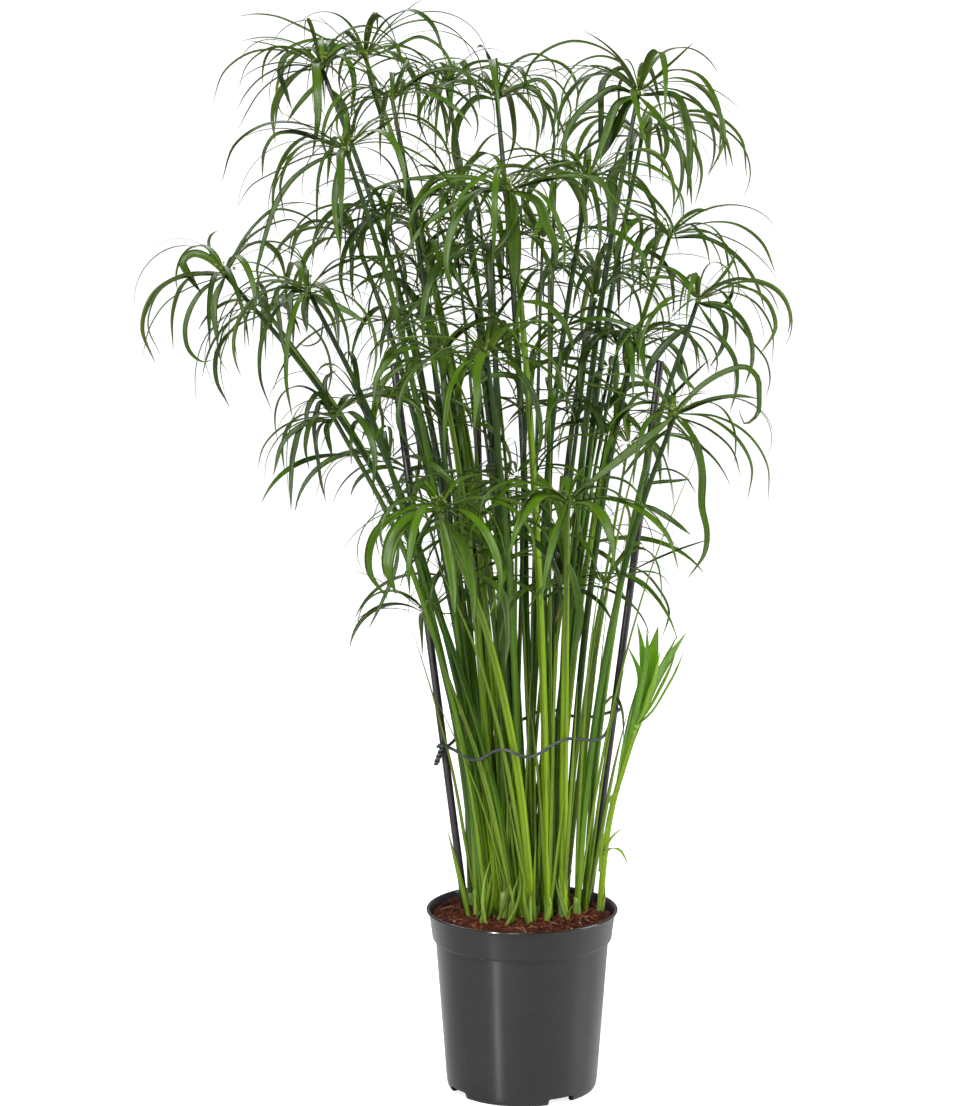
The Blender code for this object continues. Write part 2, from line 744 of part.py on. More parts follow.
def build_pot(group, cutters, finish):
    """The nursery pot: a tapered wall with a stepped collar, a raised floor, notches and drain holes."""
    pot = turned(group, "pot", wall_outline(), finish)
    notches = bmesh.new()
    holes = bmesh.new()
    for index in range(NOTCH_COUNT):
        turn = Matrix.Rotation(NOTCH_TURN - math.pi / 2 + index * 2 * math.pi / NOTCH_COUNT, 4, "Z")
        notch_at = Matrix.Translation((FOOT_RADIUS, 0, 0))
        notch_size = Matrix.Diagonal((NOTCH_DEPTH, NOTCH_WIDTH, NOTCH_HEIGHT * 2, 1))
        bmesh.ops.create_cube(notches, size=1, matrix=turn @ notch_at @ notch_size)
        hole_at = Matrix.Translation((DRAIN_RING, 0, FLOOR_HEIGHT - WALL / 2))
        drill(holes, turn @ hole_at, DRAIN_RADIUS, DRAIN_CUT, DRAIN_SIDES)
    subtract(pot, cutter(cutters, "notches", notches))
    subtract(pot, cutter(cutters, "drain_holes", holes))


def drill(bm, matrix, radius, depth, sides):
    """Adds a closed cylinder to a cutter."""
    bmesh.ops.create_cone(
        bm, cap_ends=True, segments=sides, radius1=radius, radius2=radius, depth=depth, matrix=matrix
    )


def build_soil(group, cutters, rods, finish):
    """The soil: it fills the pot up to a low mound, with a socket round each stem and stake."""
    collar_foot = POT_HEIGHT - COLLAR_HEIGHT
    clear = WALL + GAP
    floor = FLOOR_HEIGHT + GAP
    outline = [
        (0, SOIL_TOP + SOIL_MOUND),
        (SOIL_SHOULDER, SOIL_TOP + SOIL_MOUND * SOIL_SHOULDER_SHARE),
        (COLLAR_TOP_RADIUS - 2 * clear, SOIL_TOP),
        (COLLAR_FOOT_RADIUS - clear, collar_foot + WALL),
        (BODY_TOP_RADIUS - clear, collar_foot - WALL),
        (BODY_FOOT_RADIUS - clear, floor),
        (0, floor),
    ]
    soil = turned(group, "soil", outline, finish)
    sockets = bmesh.new()
    for rod in rods:
        start = Vector(rod.points[0])
        along = (Vector(rod.points[1]) - start).normalized()
        bottom = start - along * GAP * 2
        top = bottom + along * (SOIL_TOP + SOCKET_REACH - start.z)
        radius = (max(rod.radii) + GAP) / math.cos(math.pi / SOCKET_SIDES)
        upright = Vector((0, 0, 1)).rotation_difference(along).to_matrix().to_4x4()
        middle = Matrix.Translation((top + bottom) / 2)
        drill(sockets, middle @ upright, radius, (top - bottom).length, SOCKET_SIDES)
    subtract(soil, cutter(cutters, "sockets", sockets))


def main():
    """Builds the whole plant in its pot."""
    clear_scene()
    plant = collection("potted_umbrella_sedge")
    cutters = collection("cutters", hidden=True)
    finishes = {name: material(name, *look) for name, look in FINISHES.items()}

    stakes = [stake_rod(foot, top) for foot, top in STAKES.values()]
    stems = [stem_rod(culm, place) for culm, place in zip(CULMS, base_places())]
    spread_stems(stems, stakes)
    tie = tie_rod(stems[:YOUNG_CULM] + stakes)

    build_pot(plant, cutters, finishes["pot_plastic"])
    build_soil(plant, cutters, stems + stakes, finishes["peat"])
    for name, rod in zip(STAKES, stakes):
        rod_object(plant, name, rod, STAKE_ROUNDNESS, finishes["stake_black"])
    for name, rod in zip(CULM_NAMES, stems):
        rod_object(plant, "stem_" + name, rod, STEM_ROUNDNESS, finishes["stem_green"])
    rod_object(plant, "tie_wire", tie, TIE_ROUNDNESS, finishes["wire_grey"])

    hubs = [hub_rod(stem) for stem in stems]
    thicket = Thicket(stems + stakes + hubs + [tie])
    for number, name in enumerate(CULM_NAMES):
        hub, lean, blades = grow_crown(number, stems[number], thicket)
        crown = "leaf_crown_" + name
        add(plant, crown, crown_mesh(crown, hub, lean, blades), finishes["bract_green"])


main()
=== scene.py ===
"""The looks of a potted umbrella sedge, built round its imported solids.

Metres, +Z up, -Y is the front. Every piece sits where its solid is: the lines of the stems, bracts, stakes
and tie are read from the solids, and the finer shapes are modelled along them.
"""

import json
import logging
import math
from collections.abc import Callable, Iterator, Sequence
from contextlib import contextmanager
from dataclasses import dataclass, field
from enum import Enum
from random import Random

import bmesh
import bpy
import numpy as np
from mathutils import Matrix, Quaternion, Vector

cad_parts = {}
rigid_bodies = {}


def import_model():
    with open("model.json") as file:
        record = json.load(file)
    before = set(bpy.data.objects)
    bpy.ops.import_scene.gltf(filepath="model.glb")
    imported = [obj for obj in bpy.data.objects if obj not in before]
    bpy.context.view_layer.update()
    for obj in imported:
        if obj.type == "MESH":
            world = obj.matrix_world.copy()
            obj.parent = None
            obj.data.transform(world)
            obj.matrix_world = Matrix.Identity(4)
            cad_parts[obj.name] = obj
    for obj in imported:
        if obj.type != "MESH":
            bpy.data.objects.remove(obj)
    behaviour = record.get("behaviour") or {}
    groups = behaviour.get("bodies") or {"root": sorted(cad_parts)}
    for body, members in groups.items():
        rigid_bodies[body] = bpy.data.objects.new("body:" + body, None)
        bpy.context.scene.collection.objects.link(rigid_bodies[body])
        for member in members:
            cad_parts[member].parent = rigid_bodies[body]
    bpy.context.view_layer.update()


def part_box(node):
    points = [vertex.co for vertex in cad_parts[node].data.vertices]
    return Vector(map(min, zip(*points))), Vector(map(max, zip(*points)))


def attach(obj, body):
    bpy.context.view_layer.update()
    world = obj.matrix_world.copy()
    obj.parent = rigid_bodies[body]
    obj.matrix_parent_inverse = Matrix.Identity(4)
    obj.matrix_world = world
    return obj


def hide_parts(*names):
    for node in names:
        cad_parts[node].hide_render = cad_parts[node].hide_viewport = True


LOG = logging.getLogger("potted_sedge")
BODY = "root"
UP = Vector((0, 0, 1))

Colour = tuple[float, float, float, float]
Value = float | Sequence[float] | bpy.types.NodeSocket


class Slot(Enum):
    """The record's material slots."""

    POT = "pot_plastic"
    PEAT = "peat"
    STAKE = "stake_plastic"
    WIRE = "wire_coating"
    STEM = "stem_green"
    BRACT = "bract_green"


class Pick(Enum):
    """What kind of element an edit selects."""

    VERT = "VERT"
    EDGE = "EDGE"
    FACE = "FACE"


def srgb(red: int, green: int, blue: int) -> Colour:
    """Turns a colour as seen on a screen into a linear one.

    Args:
        red: Red, from 0 to 255.
        green: Green, from 0 to 255.
        blue: Blue, from 0 to 255.

    Returns:
        The linear colour with full alpha.
    """
    shares = (part / 255 for part in (red, green, blue))
    linear = (part / 12.92 if part < 0.04045 else ((part + 0.055) / 1.055) ** 2.4 for part in shares)
    return (*linear, 1.0)


def select(*objects: bpy.types.Object) -> None:
    """Selects only these objects and makes the first one active.

    Args:
        *objects: The objects.
    """
    bpy.ops.object.select_all(action="DESELECT")
    for obj in objects:
        obj.select_set(True)
    bpy.context.view_layer.objects.active = objects[0]


@contextmanager
def editing(obj: bpy.types.Object, kind: Pick = Pick.VERT) -> Iterator[None]:
    """Opens a mesh in edit mode with nothing selected.

    Args:
        obj: The mesh object.
        kind: What kind of element is selected.

    Yields:
        Nothing, while the object is in edit mode.
    """
    select(obj)
    bpy.ops.object.mode_set(mode="EDIT")
    bpy.ops.mesh.select_mode(type=kind.value)
    bpy.ops.mesh.select_all(action="DESELECT")
    yield
    bpy.ops.object.mode_set(mode="OBJECT")


def pick(obj: bpy.types.Object, kind: Pick, wanted: Callable[[Vector, Vector], bool]) -> None:
    """Selects elements of the mesh in edit mode by their middle and normal.

    Args:
        obj: The object in edit mode.
        kind: What kind of element is selected.
        wanted: Says from an element's middle and normal whether it is selected.
    """
    mesh = bmesh.from_edit_mesh(obj.data)
    if kind is Pick.FACE:
        for face in mesh.faces:
            face.select_set(wanted(face.calc_center_median(), face.normal))
    elif kind is Pick.EDGE:
        for edge in mesh.edges:
            middle = (edge.verts[0].co + edge.verts[1].co) / 2
            edge.select_set(wanted(middle, (edge.verts[0].normal + edge.verts[1].normal) / 2))
    else:
        for vert in mesh.verts:
            vert.select_set(wanted(vert.co, vert.normal))
    mesh.select_flush_mode()
    bmesh.update_edit_mesh(obj.data)


def modify(obj: bpy.types.Object, kind: str, **settings: object) -> None:
    """Adds one modifier to an object and applies it.

    Args:
        obj: The object.
        kind: The modifier's type.
        **settings: The modifier's values.
    """
    select(obj)
    made = obj.modifiers.new(kind.lower(), kind)
    for name, value in settings.items():
        setattr(made, name, value)
    bpy.ops.object.modifier_apply(modifier=made.name)


def join(name: str, parts: Sequence[bpy.types.Object]) -> bpy.types.Object:
    """Joins mesh objects into the first of them.

    Args:
        name: The joined object's name.
        parts: The objects.

    Returns:
        The joined object.
    """
    select(*parts)
    if len(parts) > 1:
        bpy.ops.object.join()
    parts[0].name = name
    return parts[0]


def discard(*objects: bpy.types.Object) -> None:
    """Deletes helper objects."""
    for obj in objects:
        bpy.data.objects.remove(obj, do_unlink=True)


def hand_over(piece: bpy.types.Object, slot: Slot, *nodes: str) -> None:
    """Puts a finished piece on the object.

    Args:
        piece: The piece, in place.
        slot: The record's slot for the piece; it is not used.
        *nodes: The solids that it stands for.
    """
    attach(piece, BODY)
    if nodes:
        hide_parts(*nodes)
    LOG.info("%s: %d faces", piece.name, len(piece.data.polygons))


class ShaderTree:
    """Adds nodes to a material or to a node group, and joins them."""

    def __init__(self, tree: bpy.types.NodeTree) -> None:
        """Keeps the tree that the nodes go into."""
        self.tree = tree

    def add(
        self, kind: str, inputs: dict[str | int, Value] | None = None, **settings: object
    ) -> bpy.types.Node:
        """Adds a node.

        Args:
            kind: The node's type.
            inputs: A value or another node's output for each named input.
            **settings: The node's own properties.

        Returns:
            The node.
        """
        node = self.tree.nodes.new(kind)
        for name, value in settings.items():
            setattr(node, name, value)
        self._feed(node, inputs or {})
        return node

    def attribute(self, name: str) -> bpy.types.NodeSocket:
        """Reads a number that the mesh carries."""
        return self.add("ShaderNodeAttribute", attribute_name=name).outputs["Fac"]

    def math(self, operation: str, *values: Value) -> bpy.types.NodeSocket:
        """Does a sum on numbers."""
        inputs = dict(enumerate(values))
        return self.add("ShaderNodeMath", inputs, operation=operation).outputs[0]

    def remap(
        self, value: Value, low: float, high: float, to_low: float = 0, to_high: float = 1
    ) -> bpy.types.NodeSocket:
        """Maps a number from one range to another, and keeps it inside.

        Args:
            value: The number.
            low: The start of its range.
            high: The end of its range.
            to_low: What the start becomes.
            to_high: What the end becomes.

        Returns:
            The mapped number.
        """
        inputs = {"Value": value, "From Min": low, "From Max": high, "To Min": to_low, "To Max": to_high}
        return self.add("ShaderNodeMapRange", inputs).outputs[0]

    def mix(self, share: Value, first: Value, second: Value) -> bpy.types.NodeSocket:
        """Mixes two colours.

        Args:
            share: How much of the second there is.
            first: The first colour.
            second: The second colour.

        Returns:
            The mixed colour.
        """
        inputs = {"Factor": share, 6: first, 7: second}
        return self.add("ShaderNodeMix", inputs, data_type="RGBA").outputs[2]

    def ramp(self, value: Value, stops: Sequence[tuple[float, Colour]]) -> bpy.types.NodeSocket:
        """Turns a number into a colour.

        Args:
            value: The number, from 0 to 1.
            stops: A place and a colour for each stop.

        Returns:
            The colour.
        """
        node = self.add("ShaderNodeValToRGB", {"Fac": value})
        elements = node.color_ramp.elements
        while len(elements) < len(stops):
            elements.new(1)
        for element, (place, colour) in zip(elements, stops):
            element.position = place
            element.color = colour
        return node.outputs["Color"]

    def add_group(self, group: bpy.types.NodeTree, inputs: dict[str | int, Value]) -> bpy.types.Node:
        """Places a node group and joins its inputs.

        Args:
            group: The group.
            inputs: A value or another node's output for each input.

        Returns:
            The node.
        """
        node = self.tree.nodes.new("ShaderNodeGroup")
        node.node_tree = group
        self._feed(node, inputs)
        return node

    def _feed(self, node: bpy.types.Node, inputs: dict[str | int, Value]) -> None:
        """Sets or joins a node's inputs.

        Args:
            node: The node.
            inputs: A value or another node's output for each input.
        """
        for name, value in inputs.items():
            if isinstance(value, bpy.types.NodeSocket):
                self.tree.links.new(value, node.inputs[name])
            else:
                node.inputs[name].default_value = value

    def bump(self, height: Value, strength: float, distance: float) -> bpy.types.NodeSocket:
        """Turns a height into a normal.

        Args:
            height: The height.
            strength: How strong the relief is.
            distance: How high it is, in metres.

        Returns:
            The normal.
        """
        inputs = {"Height": height, "Strength": strength, "Distance": distance}
        return self.add("ShaderNodeBump", inputs).outputs["Normal"]


class Effects:
    """The node groups that more than one finish uses."""

    FINER = 5.0
    FINE_SHARE = 0.35
    MIDDLE = 0.5
    VEIN_STRETCH = 3.0
    VEIN_SHIFT = 37.0
    MARK_EDGE = 0.05

    def __init__(self) -> None:
        """Builds each group once."""
        self.mottle = self._mottle()
        self.veins = self._veins()
        self.marks = self._marks()

    @staticmethod
    def _start(name: str, inputs: dict[str, float], output: str) -> tuple[ShaderTree, Callable, Callable]:
        """Makes an empty group.

        Args:
            name: The group's name.
            inputs: Each input and its default value.
            output: The output.

        Returns:
            The group's tree, a function that reads an input, and one that sets the output.
        """
        group = bpy.data.node_groups.new(name, "ShaderNodeTree")
        for label, value in inputs.items():
            socket = group.interface.new_socket(label, in_out="INPUT", socket_type="NodeSocketFloat")
            socket.default_value = value
        group.interface.new_socket(output, in_out="OUTPUT", socket_type="NodeSocketFloat")
        entry = group.nodes.new("NodeGroupInput")
        ending = group.nodes.new("NodeGroupOutput")
        return (
            ShaderTree(group),
            lambda label: entry.outputs[label],
            lambda socket: group.links.new(socket, ending.inputs[output]),
        )

    def _mottle(self) -> bpy.types.NodeTree:
        """Soft uneven patches in two sizes.

        Returns:
            The group's nodes.
        """
        tree, read, give = self._start("Mottle", {"Scale": 40, "Contrast": 1}, "Patches")
        place = tree.add("ShaderNodeTexCoord").outputs["Object"]
        broad = tree.add("ShaderNodeTexNoise", {"Vector": place, "Scale": read("Scale"), "Detail": 4})
        finer = tree.math("MULTIPLY", read("Scale"), self.FINER)
        fine = tree.add("ShaderNodeTexNoise", {"Vector": place, "Scale": finer, "Detail": 3})
        both = tree.math("MULTIPLY_ADD", fine.outputs["Fac"], self.FINE_SHARE, broad.outputs["Fac"])
        level = tree.math("SUBTRACT", both, self.MIDDLE * (1 + self.FINE_SHARE))
        give(tree.math("ADD", tree.math("MULTIPLY", level, read("Contrast")), self.MIDDLE))
        return tree.tree

    def _veins(self) -> bpy.types.NodeTree:
        """Fine lines that run the length of a blade or a stem.

        Returns:
            The group's nodes.
        """
        names = {"Along": 0, "Side": 0, "Tone": 0, "Count": 12}
        tree, read, give = self._start("Veins", names, "Lines")
        across = tree.math("MULTIPLY", read("Side"), read("Count"))
        along = tree.math("MULTIPLY", read("Along"), self.VEIN_STRETCH)
        shift = tree.math("MULTIPLY", read("Tone"), self.VEIN_SHIFT)
        place = tree.add("ShaderNodeCombineXYZ", {"X": across, "Y": along, "Z": shift}).outputs[0]
        inputs = {"Vector": place, "Scale": 1.0, "Detail": 2.0, "Roughness": 0.6}
        lines = tree.add("ShaderNodeTexNoise", inputs)
        give(tree.remap(lines.outputs["Fac"], 0.3, 0.7))
        return tree.tree

    def _marks(self) -> bpy.types.NodeTree:
        """Sparse small marks, for specks and splashes.

        Returns:
            The group's nodes.
        """
        tree, read, give = self._start("Marks", {"Scale": 300, "Sparseness": 0.7}, "Marks")
        place = tree.add("ShaderNodeTexCoord").outputs["Object"]
        noise = tree.add("ShaderNodeTexNoise", {"Vector": place, "Scale": read("Scale"), "Detail": 2.0})
        over = tree.math("SUBTRACT", noise.outputs["Fac"], read("Sparseness"))
        give(tree.remap(over, 0.0, self.MARK_EDGE))
        return tree.tree


class Skin(ShaderTree):
    """A material's nodes, round its Principled shader."""

    def __init__(self, name: str, effects: Effects | None = None) -> None:
        """Makes the material.

        Args:
            name: The material's name.
            effects: The node groups, for a finish that uses them.
        """
        self.material = bpy.data.materials.new(name)
        self.material.use_nodes = True
        super().__init__(self.material.node_tree)
        self.shader = self.tree.nodes["Principled BSDF"]
        self.effects = effects

    def attributes(self, *names: str) -> list[bpy.types.NodeSocket]:
        """Reads numbers that the mesh carries."""
        return [self.attribute(name) for name in names]

    def patches(self, scale: float, contrast: float) -> bpy.types.NodeSocket:
        """Adds soft uneven patches."""
        return self.add_group(self.effects.mottle, {"Scale": scale, "Contrast": contrast}).outputs[0]

    def marks(self, scale: float, sparseness: float) -> bpy.types.NodeSocket:
        """Adds sparse small marks."""
        return self.add_group(self.effects.marks, {"Scale": scale, "Sparseness": sparseness}).outputs[0]

    def veins(self, count: float) -> bpy.types.NodeSocket:
        """Adds fine lines that run the length of a strand.

        Args:
            count: How many lines fit across.

        Returns:
            How strong the lines are.
        """
        along, side, tone = self.attributes("along", "side", "tone")
        inputs = {"Along": along, "Side": side, "Tone": tone, "Count": count}
        return self.add_group(self.effects.veins, inputs).outputs[0]

    def grain(self, scale: float, detail: float = 2.0) -> bpy.types.NodeSocket:
        """Adds a fine even noise."""
        return self.add("ShaderNodeTexNoise", {"Scale": scale, "Detail": detail}).outputs["Fac"]

    def finish(self, inputs: dict[str | int, Value]) -> bpy.types.Material:
        """Sets or joins the shader's inputs and gives the material."""
        self._feed(self.shader, inputs)
        return self.material


@dataclass(frozen=True)
class PotPlastic:
    """Satin charcoal plastic. Its fine turning marks draw each reflection out upwards and downwards."""

    light: Colour = srgb(42, 41, 43)
    dark: Colour = srgb(33, 32, 34)
    splash: Colour = srgb(84, 76, 70)
    splash_share: float = 0.25
    patches: tuple[float, float] = (28.0, 1.0)
    splashes: tuple[float, float] = (420.0, 0.68)
    grain: float = 900.0
    roughness: tuple[float, float] = (0.21, 0.26)
    relief: tuple[float, float] = (0.02, 0.0002)
    stretch: float = 0.93
    quarter_turn: float = 0.25

    def material(self, effects: Effects) -> bpy.types.Material:
        """Builds the material.

        Args:
            effects: The node groups.

        Returns:
            The material.
        """
        skin = Skin("Charcoal pot plastic", effects)
        patches = skin.patches(*self.patches)
        splashes = skin.math("MULTIPLY", skin.marks(*self.splashes), self.splash_share)
        round_about = skin.add("ShaderNodeTangent", direction_type="RADIAL", axis="Z")
        return skin.finish({
            "Base Color": skin.mix(splashes, skin.mix(patches, self.dark, self.light), self.splash),
            "Roughness": skin.remap(patches, 0, 1, *self.roughness),
            "Normal": skin.bump(skin.grain(self.grain), *self.relief),
            "Tangent": round_about.outputs["Tangent"],
            "Anisotropic": self.stretch,
            "Anisotropic Rotation": self.quarter_turn,
        })


@dataclass(frozen=True)
class Peat:
    """Moist reddish-brown peat and coir. Each crumb has its own tone."""

    deep: Colour = srgb(26, 12, 8)
    warm: Colour = srgb(88, 42, 26)
    pale: Colour = srgb(140, 84, 56)
    tone_share: float = 0.6
    warm_at: float = 0.55
    patches: tuple[float, float] = (160.0, 2.2)
    patch_share: float = 0.45
    grain: tuple[float, float] = (900.0, 5.0)
    roughness: float = 0.88
    shine: float = 0.12
    relief: tuple[float, float] = (0.7, 0.0008)

    def material(self, effects: Effects) -> bpy.types.Material:
        """Builds the material.

        Args:
            effects: The node groups.

        Returns:
            The material.
        """
        skin = Skin("Peat", effects)
        patches = skin.math("MULTIPLY", skin.patches(*self.patches), self.patch_share)
        level = skin.math("MULTIPLY_ADD", skin.attribute("tone"), self.tone_share, patches)
        return skin.finish({
            "Base Color": skin.ramp(level, [(0.0, self.deep), (self.warm_at, self.warm), (1.0, self.pale)]),
            "Roughness": self.roughness,
            "Normal": skin.bump(skin.grain(*self.grain), *self.relief),
            "Specular IOR Level": self.shine,
        })


@dataclass(frozen=True)
class StakePlastic:
    """Purple-black smooth plastic with faint scratches."""

    dark: Colour = srgb(31, 25, 32)
    light: Colour = srgb(62, 52, 60)
    patches: tuple[float, float] = (90.0, 1.6)
    scratches: tuple[float, float] = (700.0, 0.62)
    roughness: tuple[float, float] = (0.32, 0.5)
    relief: tuple[float, float] = (0.2, 0.0002)

    def material(self, effects: Effects) -> bpy.types.Material:
        """Builds the material.

        Args:
            effects: The node groups.

        Returns:
            The material.
        """
        skin = Skin("Stake plastic", effects)
        patches = skin.patches(*self.patches)
        return skin.finish({
            "Base Color": skin.mix(patches, self.dark, self.light),
            "Roughness": skin.remap(patches, 0, 1, *self.roughness),
            "Normal": skin.bump(skin.marks(*self.scratches), *self.relief),
        })


@dataclass(frozen=True)
class WireCoating:
    """The tie's grey-green plastic coat, a little chalky."""

    dark: Colour = srgb(34, 42, 38)
    light: Colour = srgb(78, 86, 80)
    patches: tuple[float, float] = (120.0, 2.0)
    grain: float = 1500.0
    roughness: float = 0.5
    relief: tuple[float, float] = (0.3, 0.0003)

    def material(self, effects: Effects) -> bpy.types.Material:
        """Builds the material.

        Args:
            effects: The node groups.

        Returns:
            The material.
        """
        skin = Skin("Wire coating", effects)
        return skin.finish({
            "Base Color": skin.mix(skin.patches(*self.patches), self.dark, self.light),
            "Roughness": self.roughness,
            "Normal": skin.bump(skin.grain(self.grain), *self.relief),
        })


@dataclass(frozen=True)
class StemSkin:
    """A stem's skin, from pale at its foot to dark under its crown, with fine ribs, painted shade in three
    bands round its three faces, painted shade over the stems of low tone and painted front light at the feet
    of the stems of high tone.
    """

    stops: tuple[tuple[float, Colour], ...] = (
        (0.0, srgb(146, 154, 60)),
        (0.04, srgb(128, 166, 34)),
        (0.2, srgb(108, 162, 18)),
        (0.5, srgb(82, 136, 16)),
        (1.0, srgb(34, 62, 14)),
    )
    # The dark colour is the painted shade on shaded stems and faces, and also the colour of the darker vein
    # lines. The bright colour is the painted front light at the feet of lit stems, and also the colour of
    # random pale patches.
    dark: Colour = srgb(20, 38, 10)
    bright: Colour = srgb(172, 214, 20)
    # The next five numbers set the painted shade on stems of low tone and the painted front light, fading
    # upwards, at the feet of stems of high tone.
    shaded_under: float = 0.45
    deepest_shade: float = 0.75
    lit_over: float = 0.55
    strongest_light: float = 0.85
    painted_light_fades: tuple[float, float, float, float] = (0.4, 0.95, 1.0, 0.3)
    # The next four numbers paint shade in three bands round the stem's faces.
    face_turn: float = 6 * math.pi
    face_shift: float = 40.0
    face_edges: tuple[float, float] = (0.1, 0.9)
    painted_face_shade: float = 0.5
    veins: float = 22.0
    vein_shade: float = 0.4
    patches: tuple[float, float] = (12.0, 1.4)
    patch_over: float = 0.45
    patch_light: float = 0.16
    roughness: tuple[float, float] = (0.27, 0.42)
    relief: tuple[float, float] = (0.5, 0.0005)
    shine: float = 0.3

    def material(self, effects: Effects) -> bpy.types.Material:
        """Builds the material.

        Args:
            effects: The node groups.

        Returns:
            The material.
        """
        skin = Skin("Stem skin", effects)
        along, side, tone = skin.attributes("along", "side", "tone")
        veins = skin.veins(self.veins)
        # Painted shade: stems of low tone are darkened as if they stood in shade.
        painted_shade = skin.remap(tone, self.shaded_under, 0.0, 0.0, self.deepest_shade)
        colour = skin.mix(painted_shade, skin.ramp(along, self.stops), self.dark)
        # Painted front light: stems of high tone get a bright lime towards their feet.
        low = skin.remap(along, *self.painted_light_fades)
        painted_light = skin.remap(tone, self.lit_over, 1.0, 0.0, self.strongest_light)
        colour = skin.mix(skin.math("MULTIPLY", painted_light, low), colour, self.bright)
        # Painted shade: three dark bands round the faces, so that each face has a shaded side.
        shift = skin.math("MULTIPLY", tone, self.face_shift)
        wave = skin.math("SINE", skin.math("MULTIPLY_ADD", side, self.face_turn, shift))
        colour = skin.mix(skin.remap(wave, *self.face_edges, 0.0, self.painted_face_shade), colour, self.dark)
        colour = skin.mix(skin.math("MULTIPLY", veins, self.vein_shade), colour, self.dark)
        spots = skin.remap(skin.patches(*self.patches), self.patch_over, 1.0, 0.0, self.patch_light)
        return skin.finish({
            "Base Color": skin.mix(spots, colour, self.bright),
            "Roughness": skin.remap(veins, 0, 1, *self.roughness),
            "Normal": skin.bump(veins, *self.relief),
            "Specular IOR Level": self.shine,
        })


@dataclass(frozen=True)
class BladeSkin:
    """A bract's skin: satin green with fine veins, paler below and at its root, and drying at some tips."""

    name: str
    deep: Colour
    fresh: Colour
    pale: Colour
    dry: Colour = srgb(118, 104, 56)
    tone_share: float = 0.7
    patches: tuple[float, float] = (30.0, 2.0)
    patch_share: float = 0.4
    under: tuple[float, float] = (0.4, -0.2)
    under_share: float = 0.55
    root: tuple[float, float] = (0.16, 0.0)
    root_share: float = 0.6
    veins: float = 16.0
    vein_shade: float = 0.3
    green_to: float = 0.86
    green_more: float = 0.16
    drying: float = 9.0
    roughness: tuple[float, float] = (0.3, 0.46)
    relief: tuple[float, float] = (0.4, 0.0003)
    shine: float = 0.24

    def material(self, effects: Effects) -> bpy.types.Material:
        """Builds the material.

        Args:
            effects: The node groups.

        Returns:
            The material.
        """
        skin = Skin(self.name, effects)
        along, tone, upper = skin.attributes("along", "tone", "upper")
        veins = skin.veins(self.veins)
        own = skin.math("MULTIPLY", tone, self.tone_share)
        level = skin.math("MULTIPLY_ADD", skin.patches(*self.patches), self.patch_share, own)
        colour = skin.mix(level, self.deep, self.fresh)
        colour = skin.mix(skin.remap(upper, *self.under, 0.0, self.under_share), colour, self.pale)
        colour = skin.mix(skin.remap(along, *self.root, 0.0, self.root_share), colour, self.pale)
        colour = skin.mix(skin.math("MULTIPLY", veins, self.vein_shade), colour, self.deep)
        green = skin.math("MULTIPLY_ADD", tone, self.green_more, self.green_to)
        dried = skin.math("MULTIPLY", skin.math("SUBTRACT", along, green), self.drying)
        return skin.finish({
            "Base Color": skin.mix(skin.remap(dried, 0.0, 1.0), colour, self.dry),
            "Roughness": skin.remap(veins, 0, 1, *self.roughness),
            "Normal": skin.bump(veins, *self.relief),
            "Specular IOR Level": self.shine,
        })


MATURE = BladeSkin("Bract skin", srgb(24, 40, 5), srgb(84, 122, 12), srgb(112, 136, 40))
YOUNG = BladeSkin("Young bract skin", srgb(66, 122, 18), srgb(142, 192, 40), srgb(160, 200, 80))
OUTER = BladeSkin("Outer bract skin", srgb(22, 40, 5), srgb(88, 126, 14), srgb(118, 140, 52))
FOLDED = BladeSkin("Folded bract skin", srgb(60, 124, 10), srgb(140, 196, 28), srgb(160, 206, 60))
SIDE = BladeSkin("Side bract skin", srgb(24, 46, 6), srgb(88, 130, 14), srgb(110, 138, 38))
SHOOT = BladeSkin("Shoot skin", srgb(22, 50, 8), srgb(146, 192, 34), srgb(150, 180, 60))


@dataclass(frozen=True)
class Papery:
    """A sheath: green like the stem, drying to straw at its edge, with brown streaks at the foot."""

    green: Colour = srgb(116, 160, 34)
    straw: Colour = srgb(160, 172, 74)
    brown: Colour = srgb(84, 52, 28)
    veins: float = 14.0
    streaks: tuple[float, float, float, float] = (0.4, 0.0, 0.1, 0.9)
    dried: tuple[float, float, float, float] = (0.3, 1.0, 0.05, 0.6)
    edge: tuple[float, float] = (0.4, 0.75)
    roughness: float = 0.62
    relief: tuple[float, float] = (0.5, 0.0003)

    def material(self, effects: Effects) -> bpy.types.Material:
        """Builds the material.

        Args:
            effects: The node groups.

        Returns:
            The material.
        """
        skin = Skin("Papery sheath", effects)
        along, tone = skin.attributes("along", "tone")
        veins = skin.veins(self.veins)
        streaks = skin.math("MULTIPLY", veins, skin.remap(along, *self.streaks))
        dry = skin.remap(tone, *self.dried)
        edge = skin.math("MULTIPLY", skin.remap(along, *self.edge), dry)
        return skin.finish({
            "Base Color": skin.mix(streaks, skin.mix(edge, self.green, self.straw), self.brown),
            "Roughness": self.roughness,
            "Normal": skin.bump(veins, *self.relief),
        })


@dataclass(frozen=True)
class Plain:
    """A small part's finish: one colour with soft patches of a second."""

    name: str
    main: Colour
    second: Colour
    patches: tuple[float, float] = (200.0, 2.0)
    roughness: float = 0.6

    def material(self, effects: Effects) -> bpy.types.Material:
        """Builds the material.

        Args:
            effects: The node groups.

        Returns:
            The material.
        """
        skin = Skin(self.name, effects)
        colour = skin.mix(skin.patches(*self.patches), self.main, self.second)
        return skin.finish({"Base Color": colour, "Roughness": self.roughness})


